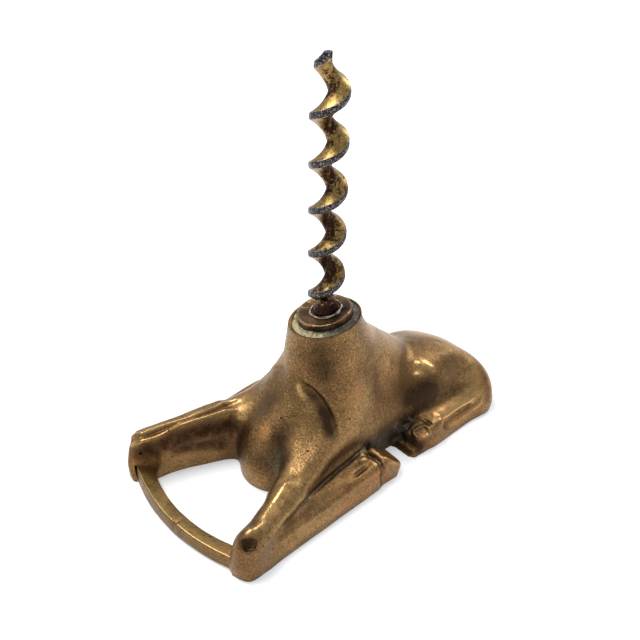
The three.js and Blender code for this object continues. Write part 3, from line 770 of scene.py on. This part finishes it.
keep(casting, "copper", patches(points, 0, [
    (5, 0.5, (48, 23, 5)),
    (1.6, 1.3, (46.9, 23.2, 10.6)),
    (4, 0.7, (16, 25.3, 4), (5, 25.2, 5)),
    (4, 0.9, (-1, 25, 4)),
    (4, 0.6, (-34, 24.5, 2), (-16, 24, 2)),
    (4, 0.6, (48, -22, 7)),
    (6, 0.4, (0, 9, 30), (4.6, 12.6, 23.7)),
    (3, 0.5, (23, 1, 15)),
    (5, 0.45, (-16.7, 11, 17.6), (-12, 13, 14)),
    (4, 0.8, (38, -17, 8), (24, -11, 8)),
    (3, 0.7, *far_shade),
    (1.4, 0.5, (22.7, 1.3, 16)),
    (3, 0.4, (-44, 24, 6)),
]))
keep(casting, "residue", patches(points, 0, [
    (0.4, 1, *shank_groove),
    (0.3, 1, *fore_coronet),
    (0.3, 1, *coronet_side),
    (1, 0.6, (-12.3, 16.4, 7), (-14.2, 16.5, 4), (-15.7, 16.6, 4.3)),
    (0.6, 0.8, (-17.2, 16.8, 6.8), (-18, 17.1, 5.8)),
    (3, 0.25, (-8, 17, 6), (-14, 17, 5)),
    (3, 0.3, (24, 8, 10)),
]))
keep(casting, "raw", limit(patches(points, 0.25, [
    (15, 1, (0, 4, 38), (12, 4, 25)),
    (8, 0.8, (24, 3, 11)),
    (6, 0.3, (19, 12.5, 15.5)),
    (10, 0.5, (-6, 12, 14)),
    (3, 0.5, (-17, 22, 5.5), (-21.5, 21.5, 7.6)),
    (1.2, -0.9, *crescent_glint),
    (1.2, -0.9, *crest_glint),
])))


def connect(node, values):
    """Sets a node's inputs, and links those whose value comes out of another node."""
    for label, value in values.items():
        if isinstance(value, bpy.types.NodeSocket):
            node.id_data.links.new(value, node.inputs[label])
        else:
            node.inputs[label].default_value = (*value, 1) if isinstance(value, tuple) else value


def add_node(kind, output, values, **settings):
    """Adds a node beside those that its values come from, and gives back one of its outputs."""
    linked = [value for value in values.values() if isinstance(value, bpy.types.NodeSocket)]
    node = linked[0].id_data.nodes.new(kind)
    for setting, value in settings.items():
        setattr(node, setting, value)
    connect(node, values)
    return node.outputs[output]


def noise(place, scale, detail, rough, distortion=0.0):
    return add_node("ShaderNodeTexNoise", "Fac", {
        "Vector": place, "Scale": scale, "Detail": detail, "Roughness": rough, "Distortion": distortion,
    })


def fade(value, low, high, to_low=0.0, to_high=1.0):
    return add_node("ShaderNodeMapRange", "Result", {
        "Value": value, "From Min": low, "From Max": high, "To Min": to_low, "To Max": to_high,
    }, interpolation_type="SMOOTHSTEP")


def mix(factor, a, b, kind="MIX"):
    return add_node("ShaderNodeMix", 2, {0: factor, 6: a, 7: b}, data_type="RGBA", blend_type=kind)


def sum_up(operation, values, held=False):
    """Works through values from the left; held keeps what comes out between 0 and 1."""
    total = values[0]
    for count, value in enumerate(values[1:], 2):
        total = add_node(
            "ShaderNodeMath", 0, {0: total, 1: value},
            operation=operation, use_clamp=held and count == len(values),
        )
    return total


def plus(*values):
    return sum_up("ADD", values)


def minus(*values, held=False):
    return sum_up("SUBTRACT", values, held)


def times(*values, held=False):
    return sum_up("MULTIPLY", values, held)


# worn brass: rubbed where the hand reaches, brown where it doesn't, with specks and small pits; the hollow
# and tarnish marks also bring painted shade, which darkens it, and painted glints, which lighten it
worn_brass = bpy.data.node_groups.new("worn_brass", "ShaderNodeTree")
for way, kind, labels in (
    ("INPUT", "NodeSocketVector", ("Place",)),
    ("INPUT", "NodeSocketFloat", ("Hollow", "Tarnish", "Copper", "Residue", "Raw")),
    ("INPUT", "NodeSocketColor", ("Rubbed", "Aged", "Deep")),
    ("OUTPUT", "NodeSocketColor", ("Color",)),
    ("OUTPUT", "NodeSocketFloat", ("Roughness", "Height")),
):
    for label in labels:
        worn_brass.interface.new_socket(label, in_out=way, socket_type=kind)
given = worn_brass.nodes.new("NodeGroupInput").outputs
place = given["Place"]
broad = noise(place, 110, 3, 0.5, 0.4)
mottle = noise(place, 480, 5, 0.6, 0.3)
grain = noise(place, 1900, 3, 0.7)
sand = noise(place, 2900, 2, 0.6)
grain_mark = plus(times(given["Raw"], 0.42), 0.25)
grain_wear = times(fade(grain, 0.35, 0.65, -0.6, 0.6), grain_mark)
wear = plus(fade(broad, 0.3, 0.7, 0.1, 0.5), fade(mottle, 0.3, 0.7, 0, 0.4), grain_wear)
# painted shade from the hollow and tarnish marks takes the rubbed brightness away, and painted glints add
# to it
wear = minus(wear, given["Hollow"], given["Tarnish"], held=True)
colour = mix(wear, given["Aged"], given["Rubbed"])
# patina and painted shade darken it towards the deep colour
dark = plus(times(given["Hollow"], 0.8), given["Tarnish"])
dark_mottle = fade(mottle, 0.25, 0.65, 0.75, 1.15)
dark_grain = fade(grain, 0.35, 0.65, 1.15, 0.82)
dark = times(dark, dark_mottle, dark_grain, held=True)
colour = mix(dark, colour, given["Deep"])
red = plus(given["Copper"], fade(broad, 0.48, 0.72, 0, 0.45))
red = times(red, fade(mottle, 0.38, 0.6), held=True)
colour = mix(red, colour, mix(1.0, colour, (1, 0.7, 0.64), "MULTIPLY"))
pale = times(given["Residue"], fade(grain, 0.36, 0.55), held=True)
colour = mix(pale, colour, (0.36, 0.31, 0.21))
speck = times(fade(sand, 0.53, 0.66), grain_mark, 0.75)
colour = mix(speck, colour, given["Deep"])
pit_distance = add_node("ShaderNodeTexVoronoi", "Distance", {"Vector": place, "Scale": 520})
pit_mask = times(fade(pit_distance, 0.08, 0.2, 1, 0), fade(mottle, 0.47, 0.58))
colour = mix(pit_mask, colour, (0.025, 0.014, 0.01))
rough = plus(fade(mottle, 0.3, 0.7, 0.3, 0.4), times(dark, 0.1), times(given["Raw"], 0.12))
rough = plus(rough, times(pale, 0.3))
rough = minus(rough, times(wear, 0.1))
relief = plus(times(grain, times(grain_mark, 1.4)), times(mottle, 0.7))
relief = minus(relief, times(pit_mask, 0.6))
connect(worn_brass.nodes.new("NodeGroupOutput"), {"Color": colour, "Roughness": rough, "Height": relief})


def new_finish(name):
    """A new material, and the place on its piece, which its patterns follow."""
    material = bpy.data.materials.new(name)
    material.use_nodes = True
    return material, material.node_tree.nodes.new("ShaderNodeTexCoord").outputs["Object"]


def read_mark(material, mark):
    """What the mesh keeps under a name."""
    reader = material.node_tree.nodes.new("ShaderNodeAttribute")
    reader.attribute_name = mark
    return reader.outputs["Fac"]


def dress(material, colour, rough, relief, depth, metallic):
    normal = add_node("ShaderNodeBump", "Normal", {"Height": relief, "Distance": depth})
    connect(material.node_tree.nodes["Principled BSDF"], {
        "Base Color": colour, "Roughness": rough, "Normal": normal, "Metallic": metallic,
    })


def brass_finish(name, rubbed, aged, deep, depth, *marks):
    """A material of worn brass; its marks are kept on the mesh, and those for hollows and tarnish also
    carry painted shade and painted glints.
    """
    material, place = new_finish(name)
    worn = material.node_tree.nodes.new("ShaderNodeGroup")
    worn.node_tree = worn_brass
    connect(worn, {"Place": place, "Rubbed": rubbed, "Aged": aged, "Deep": deep, "Raw": 0.3})
    connect(worn, {mark.capitalize(): read_mark(material, mark) for mark in marks})
    dress(material, worn.outputs["Color"], worn.outputs["Roughness"], worn.outputs["Height"], depth, 1)
    return material


def finish(piece, material, slot_name, node):
    piece.data.materials.clear()
    piece.data.materials.append(material)
    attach(piece, "root")
    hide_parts(node)


casting_brass = brass_finish(
    "cast_brass", (0.53, 0.33, 0.13), (0.215, 0.121, 0.047), (0.05, 0.03, 0.015), 0.14 * mm,
    "hollow", "tarnish", "copper", "residue", "raw",
)
finish(casting, casting_brass, "cast_brass", "body_casting")


# Opener bar: a strap of brass bent to a bow, let into the fore legs' undersides and riveted
# there. Its top slopes to the rear, its edges are worn round and its front edge has a nick.
bar_edge = 0.45 * mm
bar_steps = 120

bar = strap(bar_steps, bar_foot, bar_top, lean=bar_face_lean)
bar.name = "opener_strap"
change(bar, "BEVEL", width=bar_edge, segments=4, limit_method="ANGLE", angle_limit=math.radians(40))
split(bar)
points = get_points(bar)
nick_place = np.array((1.4, -52.8, 4.3)) * mm
nick_half_width = 0.55 * mm
nick_depth = 0.35 * mm
nick_drop = 0.3 * mm
nick_reach = np.exp(-(np.abs(points[:, 0] - nick_place[0]) / nick_half_width) ** 3)
nick_reach *= bell(length(points[:, 1:] - nick_place[1:]), 1 * mm)
points[:, 1] += nick_depth * nick_reach
points[:, 2] -= nick_drop * nick_reach
points += (0.04 * mm * ripple(points, 10, 3 * mm, 9 * mm, 21))[:, None] * np.array((0, 0.7, 0.7))
points[:, 2] = np.maximum(points[:, 2], bar_foot)
set_points(bar, points)
smooth(bar, 35)
# painted shade in brown on its front and rear faces, red at the nick, and pale dirt where it enters the
# left knee
facing = get_points(bar, "normal")
to_front = limit(-facing[:, 1])
to_rear = limit(facing[:, 1])
keep(bar, "tarnish", 0.55 * to_front + 0.3 * to_rear)
keep(bar, "copper", 0.8 * bell(length(points - nick_place), 1 * mm))
keep(bar, "residue", 1.2 * bell(points[:, 0] - 21.2 * mm, 0.3 * mm) * to_front)
bar_brass = brass_finish(
    "bar_brass", (0.59, 0.39, 0.145), (0.3, 0.18, 0.068), (0.06, 0.036, 0.016), 0.06 * mm,
    "tarnish", "copper", "residue",
)
finish(bar, bar_brass, "bar_brass", "opener_bar")


# Rivets: two copper pins driven up through the bar's ends into the knees, their feet hammered
# over and filed.
pin_radius = 1.1 * mm
pin_copper = brass_finish(
    "pin_copper", (0.5, 0.2, 0.11), (0.25, 0.09, 0.05), (0.06, 0.025, 0.018), 0.08 * mm,
)
for name, node, side in (("rivet_left", "bar_pin_left", 1), ("rivet_right", "bar_pin_right", -1)):
    rivet = rod(pin_radius, seat_gap, pin_top, side * pin_x, pin_y, steps=48)
    rivet.name = name
    open_mesh(rivet)
    bpy.ops.mesh.bevel(offset=0.25 * mm, segments=3)
    close_mesh()
    smooth(rivet, 35)
    finish(rivet, pin_copper, "pin_copper", node)


# Neck plug: a turned brass disc on a spigot, sunk into the neck to carry the worm; its top is
# slightly dished and dented, and it is dark with old flux.
plug_radius = 7.45 * mm
plug_rise = 2.4 * mm
plug_top_height = 43.95 * mm
shank_radius = 2.1 * mm


def spun(name, outline, steps):
    """Turns an outline of (radius, height) points round the z axis into a closed piece."""
    bpy.ops.mesh.primitive_circle_add(vertices=len(outline), radius=1, fill_type="NOTHING")
    piece = bpy.context.object
    piece.name = name
    for vertex, (radius, height) in zip(piece.data.vertices, outline):
        vertex.co = (radius, 0, height)
    open_mesh(piece)
    bpy.ops.mesh.spin(steps=steps, angle=2 * math.pi, center=(0, 0, 0), axis=(0, 0, 1))
    bpy.ops.mesh.select_all(action="SELECT")
    bpy.ops.mesh.remove_doubles(threshold=0.001 * mm)
    bpy.ops.mesh.normals_make_consistent(inside=False)
    close_mesh()
    return piece


disc_foot = seat_gap - ledge_depth
spigot_foot = disc_foot - 11 * mm
bore = shank_radius + seat_gap
# the disc's edge and the rim of its top, in millimetres out and up from their corner
disc_edge = (
    (0, -1.5), (0.05, -1.1), (0, -0.45), (-0.1, -0.2), (-0.3, -0.05), (-0.6, 0), (-1, -0.08), (-2, -0.15),
)
plug = spun("plug_disc", [
    (0.38 * spigot_radius + 0.25 * mm, spigot_foot),
    (spigot_radius, spigot_foot),
    (spigot_radius, disc_foot),
    (plug_radius - 0.1 * mm, disc_foot),
    (plug_radius, disc_foot + 0.1 * mm),
    *((plug_radius + out * mm, plug_rise + up * mm) for out, up in disc_edge),
    (bore + 1 * mm, plug_rise - 0.15 * mm),
    (bore, plug_rise - 0.15 * mm),
], 128)
split(plug)
points = get_points(plug)
exposed = limit((points[:, 2] - 0.3 * mm) / (1 * mm))
dents = 0.07 * mm * ripple(points, 12, 2 * mm, 6 * mm, 5)
dents += 0.025 * mm * ripple(points, 12, 0.8 * mm, 1.6 * mm, 6)
points[:, 2] += np.minimum(dents, 0.05 * mm) * exposed
set_points(plug, points)
plug.data.transform(collar_frame)
smooth(plug, 35)
# its top edge is rubbed bright and carries a painted highlight, and its wall and the flux round the boss
# are dark
points = get_points(plug)
local = (points - np.array(collar_frame.translation)) @ np.array(collar_turn.to_3x3())
from_axis = np.hypot(local[:, 0], local[:, 1])
on_edge = bell(from_axis - plug_radius + 0.45 * mm, 0.3 * mm) * (local[:, 2] > plug_rise - 0.5 * mm)
on_wall = (from_axis > plug_radius - 0.2 * mm) & (local[:, 2] < plug_rise - 0.3 * mm)
keep(plug, "hollow", 0.2 - 0.7 * on_edge)
keep(plug, "copper", 0.5 + 0.5 * ripple(points, 10, 3 * mm, 9 * mm, 52))
keep(plug, "tarnish", 0.25 * (ripple(points, 10, 2.5 * mm, 8 * mm, 51) + 1) + 0.35 * on_wall)
dark_brass = brass_finish(
    "dark_brass", (0.42, 0.27, 0.12), (0.15, 0.09, 0.042), (0.022, 0.016, 0.012), 0.14 * mm,
    "hollow", "tarnish", "copper",
)
finish(plug, dark_brass, "dark_brass", "neck_plug")


# Seal: a ring of dried putty in the ledge round the plug, pale yellow where it is whole and
# grey-green where it has broken up.
seal_inner = plug_radius + 0.03 * mm
seal_outer = rim_radius - rim_wall - 0.03 * mm
seal = spun("putty_ring", [
    (seal_inner, disc_foot),
    (seal_outer, disc_foot),
    (seal_outer, disc_foot + 0.35 * mm),
    (seal_outer - 0.15 * mm, disc_foot + 0.5 * mm),
    (seal_outer - 0.5 * mm, disc_foot + 0.55 * mm),
    (seal_inner + 0.6 * mm, disc_foot + 0.75 * mm),
    (seal_inner + 0.3 * mm, disc_foot + 1 * mm),
    (seal_inner, disc_foot + 1.25 * mm),
], 180)
points = get_points(seal)
raised = points[:, 2] > disc_foot + 0.3 * mm
sag = 0.09 * mm * ripple(points, 12, 1 * mm, 4 * mm, 8)
points[:, 2] += np.where(raised, np.clip(sag, -0.25 * mm, 0.12 * mm), 0)
set_points(seal, points)
seal.data.transform(collar_frame)
smooth(seal, 50)
points = get_points(seal)
around = np.arctan2(points[:, 1], points[:, 0])
near_edge = limit((np.hypot(points[:, 0], points[:, 1]) - seal_inner) / (0.7 * mm))
whole_side = math.radians(-105)
keep(seal, "whole", 0.26 * np.cos(around - whole_side) - 0.16 + 0.12 * near_edge)
putty, place = new_finish("pale_putty")
crust = plus(noise(place, 300, 4, 0.65, 0.8), read_mark(putty, "whole"))
crumbs = noise(place, 1800, 4, 0.6)
colour = mix(fade(crust, 0.35, 0.5), (0.05, 0.03, 0.014), (0.1, 0.095, 0.05))
colour = mix(fade(crust, 0.56, 0.7), colour, (0.42, 0.34, 0.165))
colour = mix(fade(crumbs, 0.56, 0.68), colour, (0.035, 0.028, 0.018))
colour = mix(fade(crumbs, 0.38, 0.3), colour, (0.5, 0.43, 0.3))
dress(putty, colour, fade(crumbs, 0.3, 0.7, 0.45, 0.8), crumbs, 0.15 * mm, 0)
finish(seal, putty, "pale_solder", "plug_seal_ring")


# Worm: one steel blade twisted round a thin core, right-handed, its rim ground flat by hand and
# its faces gilt; a boss at its foot stands on the plug and a shank below it goes into the plug.
worm_radius = 4.75 * mm
worm_pitch = 12 * mm
core_radius = 0.45 * mm
blade_thickness = 1.6 * mm
blade_foot = 46 * mm
blade_tip = 111.9 * mm
blade_phase = 5.44 * mm
boss_top = 48.2 * mm
boss_foot_radius = 3.3 * mm
boss_top_radius = 2.5 * mm
around_steps = 72
along_steps = 420

bpy.ops.object.select_all(action="DESELECT")
bpy.ops.mesh.primitive_grid_add(x_subdivisions=around_steps, y_subdivisions=along_steps, size=2)
worm = bpy.context.object
worm.name = "worm_blade"
points = get_points(worm)
half_rim = math.pi * blade_thickness / worm_pitch
# the sheet is rolled up: a fifth of its width makes the rim, the rest the two faces
across = points[:, 0]
turn = np.where(
    np.abs(across) < 0.2, across / 0.2 * half_rim,
    np.sign(across) * (half_rim + (math.pi - half_rim) * (np.abs(across) - 0.2) / 0.8),
)
height = blade_foot + (blade_tip - blade_foot) * (points[:, 1] + 1) / 2
heading = 2 * math.pi * (height - blade_phase) / worm_pitch
blade_height = height + worm_pitch * turn / (2 * math.pi)
tip_share = limit((blade_tip - blade_height) / (4.4 * mm))
foot_share = limit((blade_height - blade_foot) / (3 * mm))
rim_at_tip = 0.6 * mm + (worm_radius - 0.6 * mm) * tip_share
rim = np.minimum(rim_at_tip, boss_top_radius + (worm_radius - boss_top_radius) * foot_share)
flank_share = limit((math.pi - np.abs(turn)) / (math.pi - half_rim))
reach = core_radius + (rim - core_radius) * flank_share ** 2
rolled = np.stack([reach * np.cos(heading + turn), reach * np.sin(heading + turn), height], -1)
on_rim = limit((half_rim * 1.12 - np.abs(turn)) / (half_rim * 0.12))
grinding = 0.06 * mm * ripple(rolled, 14, 0.6 * mm, 1.6 * mm, 12)
grinding += 0.05 * mm * ripple(rolled, 8, 2 * mm, 5 * mm, 13)
rounded_rim = -0.16 * mm * limit(np.abs(turn) / half_rim) ** 4
swell = on_rim * (np.minimum(grinding, 0.02 * mm) + rounded_rim)
faces = (1 - on_rim) * 0.03 * mm * ripple(rolled, 10, 2 * mm, 5 * mm, 14)
push = (swell + faces) / np.maximum(reach, 0.3 * mm)
rolled[:, :2] *= 1 + push[:, None]
set_points(worm, rolled)
open_mesh(worm)
bpy.ops.mesh.remove_doubles(threshold=0.002 * mm)
bpy.ops.mesh.select_all(action="DESELECT")
bpy.ops.mesh.select_mode(type="EDGE")
bpy.ops.mesh.select_non_manifold()
bpy.ops.mesh.edge_face_add()
bpy.ops.mesh.select_mode(type="VERT")
bpy.ops.mesh.select_all(action="SELECT")
bpy.ops.mesh.normals_make_consistent(inside=False)
close_mesh()
# the boss is turned, and cut off at the lean of the plug's top; the shank goes down into the plug
plug_top_frame = Matrix.Translation((0, 0, plug_top_height)) @ collar_turn
boss = spun("worm_boss", [
    (0, plug_top_height - boss_foot_radius),
    (boss_foot_radius, plug_top_height - boss_foot_radius),
    (boss_foot_radius, plug_top_height + 0.3 * mm),
    (boss_foot_radius - 0.35 * mm, plug_top_height + 1 * mm),
    (boss_top_radius + 0.1 * mm, plug_top_height + 2 * mm),
    (boss_top_radius, boss_top - 1 * mm),
    (boss_top_radius - 0.3 * mm, boss_top - 0.3 * mm),
    (boss_top_radius - 0.9 * mm, boss_top),
    (0, boss_top),
], 72)
split(boss, 2)
points = get_points(boss)
reach = np.maximum(np.hypot(points[:, 0], points[:, 1]), 0.3 * mm)
lumpy = 0.06 * mm * ripple(points, 12, 1.2 * mm, 4 * mm, 31)
lumpy = lumpy * limit(reach / boss_top_radius) / reach
points[:, :2] *= 1 + lumpy[:, None]
set_points(boss, points)
cut_with(boss, block(half_width, half_width, -half_width, seat_gap, plug_top_frame))
shank = rod(shank_radius, plug_top_height - 8 * mm, boss_top - 0.7 * mm, steps=48)
for part in (boss, shank):
    work_in(worm, part, "UNION")
smooth(worm, 32)

# its rims are bare steel, and the stain on its gilt faces is darkest at the core and the foot; the blade's
# underside is a little darker as well
points = get_points(worm)
heading = 2 * math.pi * (points[:, 2] - blade_phase) / worm_pitch
turn = (np.arctan2(points[:, 1], points[:, 0]) - heading + math.pi) % (2 * math.pi) - math.pi
reach = np.hypot(points[:, 0], points[:, 1])
above_boss = limit((points[:, 2] - boss_top + 2 * mm) / (1 * mm))
rim_mark = limit((half_rim * 1.25 - np.abs(turn)) / (half_rim * 0.2)) * above_boss
rim_mark = np.maximum(rim_mark, limit((points[:, 2] - blade_tip + 2.2 * mm) / mm))
up_share = limit((points[:, 2] - boss_top) / (blade_tip - boss_top))
core_share = limit(1 - reach / (3 * mm))
under_side = limit(-turn / 1.2) * limit((math.pi + turn) / 0.5)
stain_mark = 0.55 - 0.5 * up_share + 0.55 * core_share + 0.15 * under_side
keep(worm, "rim", rim_mark)
keep(worm, "tarnish", np.where(above_boss > 0.5, stain_mark, 1.1))

gilt_steel, place = new_finish("gilt_steel")
bare = read_mark(gilt_steel, "rim")
blots = noise(place, 380, 5, 0.65, 1.6)
grit = noise(place, 2400, 4, 0.65)
gilt = mix(fade(grit, 0.35, 0.65), (0.2, 0.12, 0.035), (0.44, 0.29, 0.1))
stain = plus(times(read_mark(gilt_steel, "tarnish"), 0.42), blots, fade(grit, 0.35, 0.65, -0.09, 0.09))
stain = fade(stain, 0.7, 0.8)
stained = mix(fade(grit, 0.4, 0.7), (0.022, 0.01, 0.008), (0.075, 0.034, 0.02))
steel = mix(fade(grit, 0.48, 0.7), (0.03, 0.027, 0.028), (0.4, 0.37, 0.36))
steel = mix(fade(blots, 0.5, 0.7, 0, 0.7), steel, (0.04, 0.03, 0.028))
# thin bright lines along the rim's edges: painted highlight, partly bright burr
burr = times(fade(bare, 0.05, 0.5), fade(bare, 0.95, 0.6), fade(grit, 0.35, 0.6))
steel = mix(burr, steel, (0.55, 0.5, 0.45))
colour = mix(bare, mix(stain, gilt, stained), steel)
rough = plus(fade(grit, 0.3, 0.7, 0.24, 0.42), times(stain, 0.12))
relief = times(grit, plus(times(bare, 0.8), 0.25))
dress(gilt_steel, colour, rough, relief, 0.1 * mm, 1)
finish(worm, gilt_steel, "worm_steel", "worm")


# Solder: a thin uneven ring run round the boss's foot on the plug's top, bright on its crest.
solder_inner = boss_foot_radius + seat_gap + 0.12 * mm
solder_outer = solder_inner + 0.85 * mm
solder_height = 0.6 * mm
solder_foot = 0.12 * mm
solder = spun("solder_bead", [
    (solder_inner, solder_foot),
    (solder_outer, solder_foot),
    (solder_outer - 0.1 * mm, solder_foot + 0.3 * solder_height),
    (solder_outer - 0.25 * mm, solder_foot + 0.75 * solder_height),
    ((solder_inner + solder_outer) / 2, solder_foot + solder_height),
    (solder_inner + 0.15 * mm, solder_foot + 0.8 * solder_height),
    (solder_inner, solder_foot + 0.4 * solder_height),
], 160)
points = get_points(solder)
around = np.arctan2(points[:, 1], points[:, 0])
mid = (solder_inner + solder_outer) / 2
reach = np.hypot(points[:, 0], points[:, 1])
wave = 0.5 + 0.5 * ripple(points * (1, 1, 0), 8, 2.5 * mm, 6 * mm, 41) / 1.5
thin = np.clip(wave, 0.25, 1.15)
new_reach = np.maximum(mid + (reach - mid) * (0.35 + 0.65 * thin) + 0.12 * mm * (wave - 0.5), solder_inner)
points[:, :2] *= (new_reach / reach)[:, None]
points[:, 2] = solder_foot + (points[:, 2] - solder_foot) * (0.35 + 0.65 * thin)
set_points(solder, points)
solder.data.transform(plug_top_frame)
smooth(solder, 50)
pale_solder, place = new_finish("pale_solder")
dirt = noise(place, 700, 4, 0.6)
colour = mix(fade(dirt, 0.42, 0.62), (0.12, 0.075, 0.045), (0.52, 0.42, 0.32))
dress(pale_solder, colour, fade(dirt, 0.3, 0.7, 0.28, 0.5), dirt, 0.08 * mm, 0.85)
finish(solder, pale_solder, "pale_solder", "worm_solder_ring")


# Floor, daylight and lamps: a pale floor under one large soft lamp in front of the animal and a
# weaker one behind it, in a plain light room. To the camera and to shiny metal the floor glows
# a little, so that it shows white.
bpy.ops.mesh.primitive_plane_add(size=8, location=(0, 0, -0.05 * mm))
floor = bpy.context.object
floor.name = "floor"
floor_finish = bpy.data.materials.new("floor")
floor_finish.use_nodes = True
nodes = floor_finish.node_tree.nodes
nodes.remove(nodes["Principled BSDF"])
seen = nodes.new("ShaderNodeLightPath").outputs
seen_by = [seen[ray] for ray in ("Is Camera Ray", "Is Glossy Ray", "Is Transmission Ray")]
glow = add_node("ShaderNodeEmission", 0, {"Strength": times(sum_up("MAXIMUM", seen_by), 0.3)})
matt = nodes.new("ShaderNodeBsdfDiffuse")
connect(matt, {"Color": (0.8, 0.8, 0.8)})
connect(nodes["Material Output"], {
    "Surface": add_node("ShaderNodeAddShader", 0, {0: matt.outputs[0], 1: glow}),
})
floor.data.materials.append(floor_finish)

world = bpy.data.worlds.new("room")
world.use_nodes = True
bpy.context.scene.world = world
connect(world.node_tree.nodes["Background"], {"Color": (0.9, 0.93, 1), "Strength": 0.65})


def add_lamp(name, place, aim, size, power):
    bpy.ops.object.light_add(type="AREA", location=place)
    lamp = bpy.context.object
    lamp.name = name
    lamp.data.shape = "DISK"
    lamp.data.size = size
    lamp.data.energy = power
    lamp.rotation_euler = (Vector(aim) - Vector(place)).to_track_quat("-Z", "Y").to_euler()


add_lamp("lamp_in_front", (-0.25, -0.1, 0.65), (0, 0, 0.02), 0.4, 4)
add_lamp("lamp_behind", (-0.1, 0.6, 0.45), (0, 0, 0.02), 0.3, 2)

bpy.context.scene.view_settings.view_transform = "Standard"
